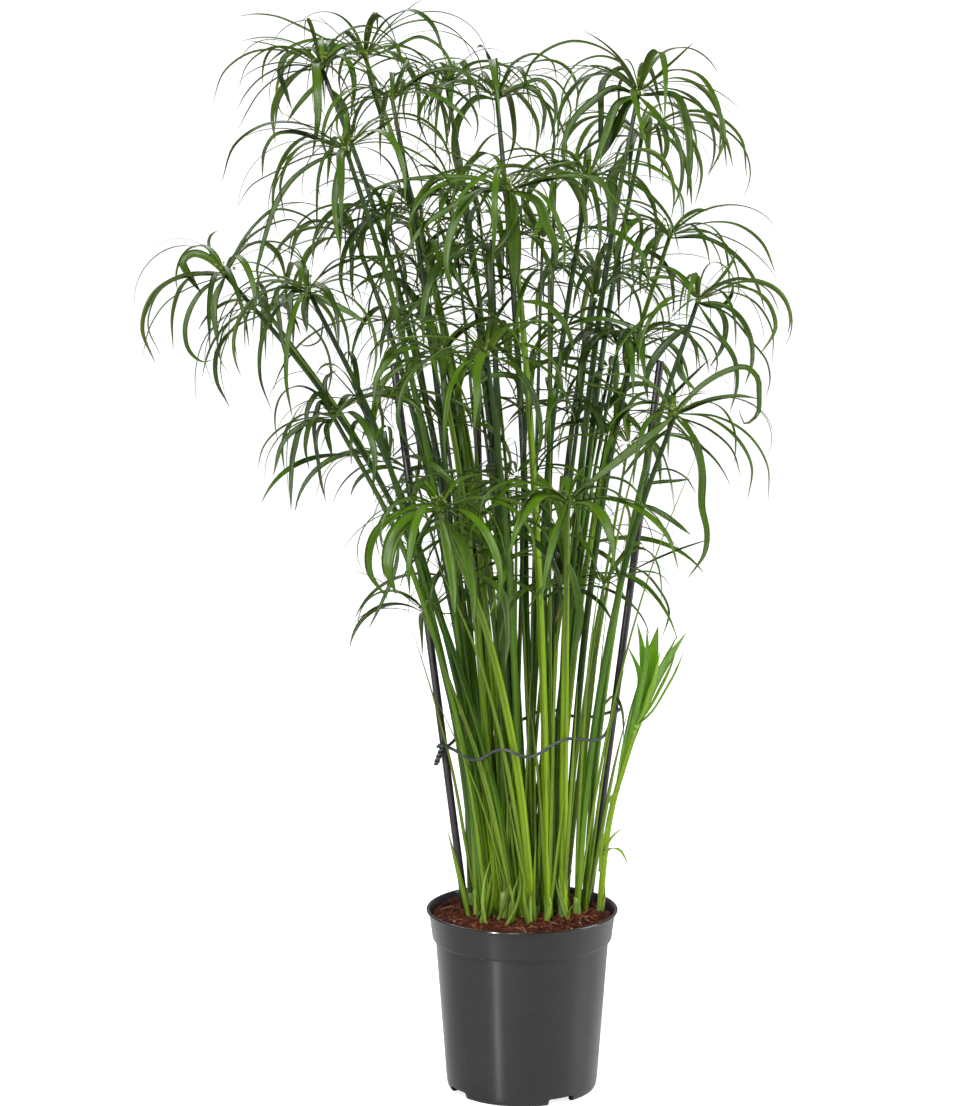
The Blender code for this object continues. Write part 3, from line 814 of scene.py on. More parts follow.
@dataclass
class Line:
    """The middle line of a solid: its points, and its radius at each."""

    points: np.ndarray
    radii: np.ndarray

    def at(self, heights: float | np.ndarray) -> np.ndarray:
        """Where the line is at some heights."""
        levels = self.points[:, 2]
        return np.stack([np.interp(heights, levels, self.points[:, axis]) for axis in range(3)], axis=-1)


@dataclass
class Strand:
    """A line that a section is swept along, with its width and the direction across it at each point."""

    points: np.ndarray
    widths: np.ndarray
    across: np.ndarray
    tone: float = 0.5
    skin: int = 0
    span: float = 1.0


@dataclass(frozen=True)
class Section:
    """A closed outline one unit wide. Each corner has a place, a side number and an up number."""

    corners: Sequence[tuple[float, float]]
    sides: Sequence[float]
    uppers: Sequence[float]

    def outline(self) -> bpy.types.Object:
        """Draws the outline as a flat closed curve.

        Returns:
            The curve.
        """
        bpy.ops.curve.primitive_bezier_circle_add()
        obj = bpy.context.object
        obj.data.splines.clear()
        obj.data.dimensions = "2D"
        spline = obj.data.splines.new("POLY")
        spline.points.add(len(self.corners) - 1)
        for control, corner in zip(spline.points, self.corners):
            control.co = (*corner, 0, 1)
        spline.use_cyclic_u = True
        return obj


def blade_section() -> Section:
    """A keeled blade: an open V with a thin wall.

    Returns:
        The outline.
    """
    corners = [(-0.5, 0.07), (-0.25, -0.01), (0, -0.065), (0.25, -0.01), (0.5, 0.07)]
    corners += [(0.25, -0.055), (0, -0.125), (-0.25, -0.055)]
    uppers = [0.5, 1, 1, 1, 0.5, -1, -1, -1]
    return Section(corners, [x for x, _ in corners], uppers)


def round_section(sides: int, ribs: int = 0, depth: float = 0.0, corners: float = 0.0) -> Section:
    """A round outline.

    Args:
        sides: How many corners it has.
        ribs: How many ribs run round it.
        depth: How far the ribs stand out, as a share of the radius.
        corners: How far it leans to a rounded triangle.

    Returns:
        The outline.
    """
    turns = [math.tau * index / sides for index in range(sides)]
    radii = [0.5 * (1 + corners * math.cos(3 * turn) + depth * math.cos(ribs * turn)) for turn in turns]
    places = [(radius * math.cos(turn), radius * math.sin(turn)) for turn, radius in zip(turns, radii)]
    return Section(places, [index / sides for index in range(sides)], [1.0] * sides)


def directions(points: np.ndarray) -> np.ndarray:
    """The direction of a line at each of its points.

    Args:
        points: The line.

    Returns:
        A unit vector for each point.
    """
    steps = np.diff(points, axis=0)
    steps = steps / np.linalg.norm(steps, axis=1)[:, None]
    inner = steps[:-1] + steps[1:]
    inner = inner / np.linalg.norm(inner, axis=1)[:, None]
    return np.concatenate([steps[:1], inner, steps[-1:]])


def tilts(strand: Strand) -> Iterator[float]:
    """The turn at each point that lays the section's width across the strand.

    Args:
        strand: The strand.

    Yields:
        Each point's turn, in radians.
    """
    for along, across in zip(directions(strand.points), strand.across):
        level = (-Vector(along)).to_track_quat("-Z", "Y")
        side = level @ Vector((1, 0, 0))
        top = level @ Vector((0, 1, 0))
        wanted = Vector(across)
        yield math.atan2(wanted.dot(top), wanted.dot(side))


def carry(mesh: bpy.types.Mesh, name: str, values: np.ndarray) -> None:
    """Gives a mesh one number for each vertex, which its material reads."""
    held = mesh.attributes.get(name) or mesh.attributes.new(name, "FLOAT", "POINT")
    held.data.foreach_set("value", values.astype(np.float32))


def sweep(
    name: str, section: Section, strands: Sequence[Strand], skins: Sequence[bpy.types.Material]
) -> bpy.types.Object:
    """Sweeps a section along strands and turns the result into one closed mesh.

    Args:
        name: The piece's name.
        section: The outline.
        strands: The strands.
        skins: The materials that the strands number.

    Returns:
        The mesh object.
    """
    outline = section.outline()
    bpy.ops.curve.primitive_bezier_curve_add()
    obj = bpy.context.object
    obj.name = name
    curve = obj.data
    curve.splines.clear()
    curve.dimensions = "3D"
    curve.twist_mode = "Z_UP"
    curve.bevel_mode = "OBJECT"
    curve.bevel_object = outline
    for skin in skins:
        curve.materials.append(skin)
    for strand in strands:
        spline = curve.splines.new("POLY")
        spline.points.add(len(strand.points) - 1)
        spline.material_index = strand.skin
        for control, point, width, tilt in zip(spline.points, strand.points, strand.widths, tilts(strand)):
            control.co = (*point, 1)
            control.radius = width
            control.tilt = tilt
    select(obj)
    bpy.ops.object.convert(target="MESH")
    discard(outline)
    corners = len(section.corners)
    counts = [len(strand.points) for strand in strands]
    shares = [np.repeat(np.linspace(0, strand.span, len(strand.points)), corners) for strand in strands]
    carry(obj.data, "along", np.concatenate(shares))
    carry(obj.data, "side", np.tile(section.sides, sum(counts)))
    carry(obj.data, "upper", np.tile(section.uppers, sum(counts)))
    tones = [np.full(len(strand.points) * corners, strand.tone) for strand in strands]
    carry(obj.data, "tone", np.concatenate(tones))
    with editing(obj, Pick.EDGE):
        bpy.ops.mesh.select_all(action="SELECT")
        bpy.ops.mesh.fill_holes(sides=0)
    bpy.ops.object.shade_smooth()
    return obj


def copies(
    name: str, master: bpy.types.Object, places: Sequence[Matrix], tones: Sequence[float]
) -> bpy.types.Object:
    """Copies a modelled piece to many places, each copy with its own mesh, and joins the copies.

    Args:
        name: The joined piece's name.
        master: The modelled piece.
        places: Where each copy goes.
        tones: Each copy's tone.

    Returns:
        The joined object.
    """
    twins = []
    for place, tone in zip(places, tones):
        twin = master.copy()
        twin.data = master.data.copy()
        twin.matrix_world = place
        carry(twin.data, "tone", np.full(len(twin.data.vertices), tone))
        bpy.context.scene.collection.objects.link(twin)
        twins.append(twin)
    joined = join(name, twins)
    bpy.ops.object.transform_apply(location=True, rotation=True, scale=True)
    return joined


def through(knots: np.ndarray, rows: np.ndarray, wanted: np.ndarray) -> np.ndarray:
    """Runs a smooth line through rows of numbers.

    Args:
        knots: Where each row stands along the line.
        rows: The rows.
        wanted: Where new rows are wanted.

    Returns:
        The new rows.
    """
    slopes = np.gradient(rows, knots, axis=0)
    index = np.clip(np.searchsorted(knots, wanted, side="right") - 1, 0, len(knots) - 2)
    span = (knots[index + 1] - knots[index])[:, None]
    share = (wanted - knots[index])[:, None] / span
    start, end = rows[index], rows[index + 1]
    leave, arrive = slopes[index] * span, slopes[index + 1] * span
    square, cube = share**2, share**3
    return (
        (2 * cube - 3 * square + 1) * start
        + (cube - 2 * square + share) * leave
        + (3 * square - 2 * cube) * end
        + (cube - square) * arrive
    )


def lengths(points: np.ndarray) -> np.ndarray:
    """How far along a line each of its points is."""
    steps = np.linalg.norm(np.diff(points, axis=0), axis=1)
    return np.concatenate([[0], np.cumsum(steps)])


def square_to(across: np.ndarray, along: np.ndarray) -> np.ndarray:
    """Turns directions square to a line's direction at each point."""
    flat = across - along * np.sum(across * along, axis=1)[:, None]
    return flat / np.linalg.norm(flat, axis=1)[:, None]


class Course:
    """A smooth line through some points, with evenly spaced stations."""

    def __init__(self, points: np.ndarray, stations: int) -> None:
        """Rounds the line.

        Args:
            points: The points that it runs through.
            stations: How many stations it has.
        """
        self.knots = lengths(points)
        self.wanted = np.linspace(0, self.knots[-1], stations)
        self.points = through(self.knots, points, self.wanted)
        self.shares = self.wanted / self.knots[-1]

    def follow(self, rows: np.ndarray) -> np.ndarray:
        """Runs numbers that the points carry along the stations."""
        return through(self.knots, rows, self.wanted)

    def across(self, rough: Sequence[float]) -> np.ndarray:
        """Turns one rough direction square to the line at each station."""
        return square_to(np.tile(rough, (len(self.wanted), 1)), directions(self.points))


class Solid:
    """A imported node's corners, each once, and which of them share an edge."""

    ROUND_TO = 5

    def __init__(self, node: bpy.types.Object) -> None:
        """Reads a node's mesh, whose triangles lie loose.

        Args:
            node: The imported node.
        """
        mesh = node.data
        flat = np.empty(len(mesh.vertices) * 3)
        mesh.vertices.foreach_get("co", flat)
        rounded = np.round(flat.reshape(-1, 3), self.ROUND_TO)
        self.places, index = np.unique(rounded, axis=0, return_inverse=True)
        index = index.reshape(-1)
        self.joined: list[set[int]] = [set() for _ in self.places]
        for edge in mesh.edges:
            first, second = (int(index[vert]) for vert in edge.vertices)
            if first != second:
                self.joined[first].add(second)
                self.joined[second].add(first)

    def walk(self, start: set[int], barred: set[int]) -> list[set[int]]:
        """Walks over the edges from some corners.

        Args:
            start: Where the walk starts.
            barred: Corners that it doesn't enter.

        Returns:
            The corners reached by each step.
        """
        steps = []
        seen = set(barred)
        ring = set(start)
        while ring:
            steps.append(ring)
            seen |= ring
            ring = {near for corner in ring for near in self.joined[corner]} - seen
        return steps

    def middle(self, corners: set[int]) -> np.ndarray:
        """The middle of some corners."""
        return self.places[sorted(corners)].mean(axis=0)

    def rod(self, gap: float = 0.012) -> Line:
        """The middle line of an upright rod, from the rings of corners that lie apart in height.

        Args:
            gap: The least height between two rings.

        Returns:
            The middle line.
        """
        places = self.places[np.argsort(self.places[:, 2])]
        cuts = np.nonzero(np.diff(places[:, 2]) > gap)[0] + 1
        rings = np.split(places, cuts)
        points = np.array([ring.mean(axis=0) for ring in rings])
        radii = [np.linalg.norm(ring - point, axis=1).mean() for ring, point in zip(rings, points)]
        return Line(points, np.array(radii))

    def tube(self) -> np.ndarray:
        """The middle line of a long bent tube, from one end to the other."""
        end = min(self.walk({0}, set())[-1])
        return np.array([self.middle(ring) for ring in self.walk({end}, set())])


@dataclass(kw_only=True)
class Assembly:
    """A part of the plant or its pot, with the node groups that its finishes share."""

    effects: Effects


@dataclass(kw_only=True)
class Grown(Assembly):
    """A part with its own source of chance."""

    seed: int
    random: Random = field(init=False)

    def __post_init__(self) -> None:
        """Starts the source of chance."""
        self.random = Random(self.seed)


@dataclass(frozen=True)
class Softbox:
    """A rectangular light: its place, width and height, power in watts, and whether only gloss shows it."""

    name: str
    place: tuple[float, float, float]
    size: tuple[float, float]
    power: float
    in_gloss_alone: bool = False


@dataclass
class Studio:
    """A pale floor that runs up into a backdrop, soft lights, and the camera."""

    camera_place: tuple[float, float, float] = (-0.0369, -3.0, 1.0)
    camera_dip: float = math.radians(8.73)
    picture: tuple[int, int] = (970, 1106)
    focal_pixels: float = 3100
    sensor: float = 36.0
    floor_half: float = 6.0
    wall_from: float = 0.9
    wall_height: float = 6.0
    curve_radius: float = 1.5
    floor_colour: Colour = (0.8, 0.8, 0.8, 1.0)
    floor_roughness: float = 0.9
    floor_glow: float = 0.85
    backdrop: Colour = (1.0, 1.0, 1.0, 1.0)
    ambient: float = 0.16
    aim: tuple[float, float, float] = (0, 0, 0.5)
    lights: tuple[Softbox, ...] = (
        Softbox("Strip light", (-1.72, -2.5, 1.3), (0.13, 2.4), 190.0, in_gloss_alone=True),
        Softbox("Side light", (2.6, -0.1, 1.2), (1.2, 2.2), 64.0),
        Softbox("Top light", (-0.5, -1.9, 3.0), (0.7, 0.6), 96.0),
        Softbox("Back light", (-0.7, 2.4, 2.6), (1.2, 1.2), 22.0),
    )

    def build(self) -> None:
        """Builds the whole studio."""
        self.add_camera()
        self.add_floor()
        for light in self.lights:
            self.add_light(light)
        self.add_world()
        bpy.context.scene.view_settings.view_transform = "Standard"

    def add_camera(self) -> None:
        """Adds the camera that sees what the photograph shows."""
        tilt = (math.pi / 2 - self.camera_dip, 0, 0)
        bpy.ops.object.camera_add(location=self.camera_place, rotation=tilt)
        camera = bpy.context.object
        camera.data.sensor_fit = "VERTICAL"
        camera.data.sensor_height = self.sensor
        camera.data.lens = self.sensor * self.focal_pixels / self.picture[1]
        bpy.context.scene.camera = camera

    def place(self, pixel: tuple[int, int], y: float) -> Vector:
        """Finds what a pixel of the picture shows on the upright plane at a depth.

        Args:
            pixel: The pixel, counted from the picture's upper left corner.
            y: The plane's depth.

        Returns:
            The place.
        """
        width, height = self.picture
        right, up = (pixel[0] - width / 2) / self.focal_pixels, (height / 2 - pixel[1]) / self.focal_pixels
        rise, run = math.sin(self.camera_dip), math.cos(self.camera_dip)
        ray = Vector((right, run + up * rise, up * run - rise))
        start = Vector(self.camera_place)
        return start + ray * (y - start.y) / ray.y

    def add_floor(self) -> None:
        """Models the floor and backdrop as one sheet with a rounded bend."""
        bpy.ops.mesh.primitive_plane_add(size=2 * self.floor_half)
        floor = bpy.context.object
        floor.name = "studio_floor"
        wall = self.floor_half * self.wall_from
        with editing(floor, Pick.EDGE):
            pick(floor, Pick.EDGE, lambda middle, normal: middle.y > wall)
            bpy.ops.mesh.extrude_region_move(TRANSFORM_OT_translate={"value": (0, 0, self.wall_height)})
        with editing(floor, Pick.EDGE):
            pick(floor, Pick.EDGE, lambda middle, normal: middle.y > wall and middle.z < 0.1)
            bpy.ops.mesh.bevel(offset=self.curve_radius, segments=12, affect="EDGES")
        bpy.ops.object.shade_smooth()
        skin = Skin("Studio white")
        seen = skin.add("ShaderNodeLightPath").outputs["Is Camera Ray"]
        floor.data.materials.append(skin.finish({
            "Base Color": self.floor_colour,
            "Roughness": self.floor_roughness,
            "Emission Color": self.backdrop,
            "Emission Strength": skin.math("MULTIPLY", seen, self.floor_glow),
        }))

    def add_light(self, box: Softbox) -> None:
        """Adds a soft light that faces the middle of the plant.

        Args:
            box: The light.
        """
        facing = (Vector(self.aim) - Vector(box.place)).to_track_quat("-Z", "Y")
        bpy.ops.object.light_add(type="AREA", location=box.place, rotation=facing.to_euler())
        light = bpy.context.object
        light.name = box.name
        light.data.shape = "RECTANGLE"
        light.data.size, light.data.size_y = box.size
        light.data.energy = box.power
        light.visible_diffuse = not box.in_gloss_alone

    def add_world(self) -> None:
        """Gives an even soft light from all round, and a white view past the floor."""
        world = bpy.data.worlds.new("Studio air")
        bpy.context.scene.world = world
        world.use_nodes = True
        tree = ShaderTree(world.node_tree)
        world.node_tree.nodes.clear()
        seen = tree.add("ShaderNodeBackground", {"Color": self.backdrop, "Strength": 1.0})
        felt = tree.add("ShaderNodeBackground", {"Color": self.backdrop, "Strength": self.ambient})
        path = tree.add("ShaderNodeLightPath").outputs["Is Camera Ray"]
        mixed = tree.add("ShaderNodeMixShader", {0: path, 1: felt.outputs[0], 2: seen.outputs[0]})
        tree.add("ShaderNodeOutputWorld", {"Surface": mixed.outputs[0]})


@dataclass(kw_only=True)
class NurseryPot(Assembly):
    """The pot: a tapered wall with a thin rolled rim, a stepped collar, notches and drain holes."""

    height: float = 0.182
    rim: float = 0.0953
    collar_top: float = 0.0925
    collar_foot: float = 0.0890
    collar_height: float = 0.030
    body_top: float = 0.0860
    body_foot: float = 0.0750
    foot: float = 0.0730
    wall: float = 0.0016
    floor: float = 0.008
    foot_width: float = 0.006
    centre_foot: float = 0.016
    turns: int = 144
    weld: float = 0.00004
    edge: float = 0.0003
    notches: int = 4
    notch_turn: float = math.radians(31)
    notch_size: tuple[float, float, float] = (0.030, 0.028, 0.0128)
    notch_edge: float = 0.0018
    drain_ring: float = 0.045
    drain_radius: float = 0.006
    drain_cut: float = 0.02

    def profile(self) -> list[tuple[float, float]]:
        """The wall from the rim down its outside, under the floor, and back up its inside.

        Returns:
            A radius and a height for each corner.
        """
        top, wall = self.height, self.wall
        step = top - self.collar_height
        return [
            (self.rim - 0.0011, top),
            (self.rim - 0.0004, top - 0.0002),
            (self.rim, top - 0.0008),
            (self.rim - 0.0001, top - 0.0018),
            (self.rim - 0.0007, top - 0.0026),
            (self.collar_top + 0.0006, top - 0.0030),
            (self.collar_top, top - 0.0042),
            (self.collar_foot + 0.0003, step + 0.0012),
            (self.collar_foot, step + 0.0005),
            (self.collar_foot - 0.0006, step),
            (self.body_top + 0.0009, step - 0.0004),
            (self.body_top + 0.0002, step - 0.0011),
            (self.body_top, step - 0.0022),
            (self.body_top - 0.0052, step * 0.52),
            (self.body_foot + 0.0006, 0.0095),
            (self.body_foot + 0.0001, 0.0052),
            (self.foot + 0.0014, 0.0024),
            (self.foot + 0.0004, 0.0006),
            (self.foot - 0.0006, 0.0),
            (self.foot - self.foot_width + 0.0005, 0.0),
            (self.foot - self.foot_width, 0.0005),
            (self.foot - self.foot_width - 0.0004, self.floor - wall),
            (self.centre_foot + 0.0008, self.floor - wall),
            (self.centre_foot, self.floor - wall - 0.0008),
            (self.centre_foot - 0.0003, 0.0004),
            (self.centre_foot - 0.0008, 0.0),
            (0, 0),
            (0, self.floor),
            (self.body_foot - wall - 0.002, self.floor),
            (self.body_foot - wall, self.floor + 0.002),
            (self.body_top - wall, step - wall),
            (self.collar_foot - wall, step + wall),
            (self.collar_top - wall, top - 0.003),
            (self.rim - 2.1 * wall, top - 0.0012),
            (self.rim - 1.8 * wall, top - 0.0003),
            (self.rim - 1.5 * wall, top),
        ]

    def build(self) -> None:
        """Models the pot and puts it on the object."""
        pot = self.turn()
        self.cut(pot)
        sharp, smooth = math.radians(50), math.radians(40)
        modify(pot, "BEVEL", width=self.edge, segments=2, limit_method="ANGLE", angle_limit=sharp)
        select(pot)
        bpy.ops.object.shade_smooth_by_angle(angle=smooth)
        pot.data.materials.append(PotPlastic().material(self.effects))
        hand_over(pot, Slot.POT, "pot")

    def turn(self) -> bpy.types.Object:
        """Draws the profile from one corner of a plane and spins it round.

        Returns:
            The pot.
        """
        profile = self.profile()
        half = 0.001
        bpy.ops.mesh.primitive_plane_add(size=2 * half, location=(0, 0, 0))
        pot = bpy.context.object
        pot.name = "nursery_pot"
        with editing(pot):
            pick(pot, Pick.VERT, lambda place, normal: place.x > 0 or place.y > 0)
            bpy.ops.mesh.delete(type="VERT")
            bpy.ops.mesh.select_all(action="SELECT")
            bpy.ops.transform.translate(value=(profile[0][0] + half, half, profile[0][1]))
            for (radius, height), (next_radius, next_height) in zip(profile, profile[1:] + profile[:1]):
                step = (next_radius - radius, 0, next_height - height)
                bpy.ops.mesh.extrude_region_move(TRANSFORM_OT_translate={"value": step})
            bpy.ops.mesh.select_all(action="SELECT")
            bpy.ops.mesh.spin(steps=self.turns, angle=math.tau, center=(0, 0, 0), axis=(0, 0, 1))
            bpy.ops.mesh.select_all(action="SELECT")
            bpy.ops.mesh.remove_doubles(threshold=self.weld)
            bpy.ops.mesh.normals_make_consistent(inside=False)
        return pot

    def cut(self, pot: bpy.types.Object) -> None:
        """Cuts the notches and drain holes.

        Args:
            pot: The pot.
        """
        tools = []
        for index in range(self.notches):
            turn = self.notch_turn - math.pi / 2 + index * math.tau / self.notches
            out = Vector((math.cos(turn), math.sin(turn), 0))
            bpy.ops.mesh.primitive_cube_add(size=1, location=out * self.foot, rotation=(0, 0, turn))
            notch = bpy.context.object
            notch.scale = self.notch_size
            bpy.ops.object.transform_apply(location=False, rotation=False, scale=True)
            with editing(notch, Pick.EDGE):
                bpy.ops.mesh.select_all(action="SELECT")
                bpy.ops.mesh.bevel(offset=self.notch_edge, segments=3, affect="EDGES")
            bpy.ops.mesh.primitive_cylinder_add(
                vertices=32, radius=self.drain_radius, depth=self.drain_cut, location=out * self.drain_ring
            )
            tools += [notch, bpy.context.object]
        tool = join("pot_cutter", tools)
        modify(pot, "BOOLEAN", object=tool, operation="DIFFERENCE", solver="EXACT")
        discard(tool)


@dataclass(kw_only=True)
class SoilBed(Grown):
    """The peat: an uneven top with loose crumbs, coir fibres and a few white specks."""

    seed: int = 7
    floor: float = 0.009
    foot: float = 0.071
    side_gap: float = 0.0004
    sink: float = 0.0015
    rings: int = 30
    ringed: float = 0.97
    corners: int = 150
    thin: float = 0.001
    flat_edge: float = 0.0015
    bumps: tuple[tuple[str, float, float], ...] = (
        ("swells", 0.034, 0.0075),
        ("clods", 0.009, 0.0048),
        ("grit", 0.003, 0.0022),
    )
    tone: float = 0.32
    crumbs: int = 1150
    crumb_size: tuple[float, float] = (0.0011, 0.0034)
    crumb_depth: tuple[float, float] = (0.6, 1)
    crumb_height: tuple[float, float] = (0.45, 0.8)
    crumb_lift: float = 0.15
    crumb_lumps: tuple[float, float] = (0.8, 0.9)
    crumb_margin: float = 0.0048
    specks: int = 34
    speck_share: float = 0.45
    fibres: int = 300
    fibre_margin: float = 0.012
    fibre_edge: float = 0.004
    fibre_length: tuple[float, float] = (0.008, 0.022)
    fibre_width: tuple[float, float] = (0.0004, 0.0011)
    fibre_shape: tuple[float, ...] = (0.5, 0.8, 1, 1, 1, 1, 0.9, 0.7, 0.4)
    fibre_curl: float = 2.4
    fibre_lift: tuple[float, float] = (0.0006, 0.0035)
    shortest_step: float = 0.0002
    pale_share: float = 0.16
    pale_length: float = 1.3
    pale_lift: float = 1.4
    radius: float = field(init=False)
    top: float = field(init=False)

    def __post_init__(self) -> None:
        """Takes the radius and height from the solid."""
        super().__post_init__()
        _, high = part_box("soil")
        self.radius = high[0] - self.side_gap
        self.top = high[2] - self.sink

    def build(self) -> None:
        """Models the bed and puts it on the object."""
        peat = Peat().material(self.effects)
        white = Plain("White specks", srgb(226, 220, 205), srgb(180, 168, 150)).material(self.effects)
        straw = Plain("Pale fibres", srgb(176, 128, 92), srgb(120, 76, 50)).material(self.effects)
        bed = self.ground()
        bed.data.materials.append(peat)
        parts = [bed, *self.litter(bed, peat, white), self.coir(bed, peat, straw)]
        hand_over(join("soil_bed", parts), Slot.PEAT, "soil")

    def ground(self) -> bpy.types.Object:
        """Models the block of peat with fine rings on its top, and pushes the top up and down.

        Returns:
            The bed.
        """
        bpy.ops.mesh.primitive_circle_add(
            vertices=self.corners, radius=self.foot, fill_type="NGON", location=(0, 0, self.floor)
        )
        bed = bpy.context.object
        rise = self.top - self.floor
        spread = self.radius / self.foot
        with editing(bed, Pick.FACE):
            bpy.ops.mesh.select_all(action="SELECT")
            bpy.ops.mesh.extrude_region_move(TRANSFORM_OT_translate={"value": (0, 0, rise)})
            bpy.ops.transform.resize(value=(spread, spread, 1))
            for _ in range(self.rings):
                bpy.ops.mesh.inset(thickness=self.radius * self.ringed / self.rings, use_boundary=True)
            bpy.ops.mesh.poke()
            bpy.ops.mesh.select_all(action="SELECT")
            bpy.ops.mesh.normals_make_consistent(inside=False)
            pick(bed, Pick.FACE, lambda middle, normal: middle.z > rise - self.thin)
            bpy.ops.mesh.subdivide(number_cuts=1)
        bpy.ops.object.transform_apply(location=True, rotation=False, scale=False)
        group = bed.vertex_groups.new(name="top")
        for vert in bed.data.vertices:
            reach = math.hypot(vert.co.x, vert.co.y)
            if vert.co.z > self.top - self.thin and reach < self.radius - self.flat_edge:
                group.add([vert.index], 1.0, "REPLACE")
        for label, size, strength in self.bumps:
            clouds = bpy.data.textures.new(label, "CLOUDS")
            clouds.noise_scale = size
            lift = {"strength": strength, "mid_level": 0.5, "direction": "Z", "vertex_group": "top"}
            modify(bed, "DISPLACE", texture=clouds, texture_coords="GLOBAL", **lift)
        carry(bed.data, "tone", np.full(len(bed.data.vertices), self.tone))
        bpy.ops.object.shade_smooth()
        return bed

    def height(self, bed: bpy.types.Object, x: float, y: float) -> float:
        """How high the bed's top is at a place."""
        hit, place, _, _ = bed.ray_cast(Vector((x, y, 1)), -UP)
        return place.z if hit else self.top

    def spots(
        self, bed: bpy.types.Object, count: int, margin: float
    ) -> Iterator[tuple[float, float, float]]:
        """Picks places spread evenly over the top.

        Args:
            bed: The bed.
            count: How many places are wanted.
            margin: How far from the edge they stay.

        Yields:
            Each place.
        """
        for _ in range(count):
            turn = self.random.uniform(0, math.tau)
            out = (self.radius - margin) * math.sqrt(self.random.random())
            x, y = out * math.cos(turn), out * math.sin(turn)
            yield x, y, self.height(bed, x, y)

    def litter(
        self, bed: bpy.types.Object, peat: bpy.types.Material, white: bpy.types.Material
    ) -> list[bpy.types.Object]:
        """Models one crumb and scatters it in brown and in white.

        Args:
            bed: The bed.
            peat: The brown crumbs' material.
            white: The white specks' material.

        Returns:
            The brown crumbs and the white specks.
        """
        bpy.ops.mesh.primitive_ico_sphere_add(subdivisions=2, radius=1)
        crumb = bpy.context.object
        lumps = bpy.data.textures.new("crumb lumps", "CLOUDS")
        lumps.noise_scale, strength = self.crumb_lumps
        modify(crumb, "DISPLACE", texture=lumps, strength=strength, mid_level=0.5)
        random = self.random
        scattered = []
        for name, skin, count, share in (
            ("crumbs", peat, self.crumbs, 1), ("specks", white, self.specks, self.speck_share)
        ):
            crumb.data.materials.clear()
            crumb.data.materials.append(skin)
            places = []
            for x, y, z in self.spots(bed, count, self.crumb_margin):
                size = random.uniform(*self.crumb_size) * share
                turn = Quaternion([random.gauss(0, 1) for _ in range(4)]).normalized()
                depth, height = random.uniform(*self.crumb_depth), random.uniform(*self.crumb_height)
                shape = Vector((size, size * depth, size * height))
                places.append(Matrix.LocRotScale((x, y, z + size * self.crumb_lift), turn, shape))
            scattered.append(copies(name, crumb, places, [random.random() for _ in places]))
        discard(crumb)
        return scattered

    def coir(
        self, bed: bpy.types.Object, peat: bpy.types.Material, straw: bpy.types.Material
    ) -> bpy.types.Object:
        """Lays coir fibres over the top: short brown ones, and a few long pale ones that stand up in loops.

        Args:
            bed: The bed.
            peat: The brown fibres' material.
            straw: The pale fibres' material.

        Returns:
            The fibres.
        """
        random = self.random
        count = len(self.fibre_shape)
        limit = self.radius - self.fibre_edge
        strands = []
        for x, y, _ in self.spots(bed, self.fibres, self.fibre_margin):
            pale = random.random() < self.pale_share
            length = random.uniform(*self.fibre_length) * (self.pale_length if pale else 1)
            turn = random.uniform(0, math.tau)
            curl = random.uniform(-self.fibre_curl, self.fibre_curl)
            lift = random.uniform(*self.fibre_lift) * (self.pale_lift if pale else 1)
            points = []
            for share in np.linspace(0, 1, count):
                heading = turn + curl * share
                x += length / (count - 1) * math.cos(heading)
                y += length / (count - 1) * math.sin(heading)
                out = math.hypot(x, y)
                if out > limit:
                    x, y = x * limit / out, y * limit / out
                points.append((x, y, self.height(bed, x, y) + lift * math.sin(math.pi * share)))
            line = np.array(points)
            if np.linalg.norm(np.diff(line, axis=0), axis=1).min() < self.shortest_step:
                continue
            widths = random.uniform(*self.fibre_width) * np.array(self.fibre_shape)
            across = np.tile(UP, (count, 1))
            strands.append(Strand(line, widths, across, random.random(), int(pale)))
        return sweep("coir", round_section(5), strands, [peat, straw])


@dataclass(kw_only=True)
class Stakes(Assembly):
    """The three dark stakes that hold the clump."""

    names: tuple[str, ...] = ("stake_left", "stake_right", "stake_back")
    sides: int = 32
    chamfer: float = 0.0008

    def build(self) -> None:
        """Models each stake along its solid."""
        skin = StakePlastic().material(self.effects)
        for name in self.names:
            self.stake(name, Solid(bpy.data.objects[name]).rod(), skin)

    def stake(self, name: str, line: Line, skin: bpy.types.Material) -> None:
        """Models one stake: a rod with a rounded top.

        Args:
            name: The solid's name.
            line: The solid's middle line.
            skin: The material.
        """
        foot, tip = Vector(line.points[0]), Vector(line.points[-1])
        bpy.ops.mesh.primitive_cylinder_add(
            vertices=self.sides,
            radius=float(line.radii.mean()),
            depth=(tip - foot).length,
            location=(foot + tip) / 2,
            rotation=(tip - foot).to_track_quat("Z", "X").to_euler(),
        )
        rod = bpy.context.object
        rod.name = f"{name}_rod"
        modify(rod, "BEVEL", width=self.chamfer, segments=3, limit_method="ANGLE")
        select(rod)
        bpy.ops.object.shade_smooth_by_angle(angle=math.radians(35))
        rod.data.materials.append(skin)
        hand_over(rod, Slot.STAKE, name)


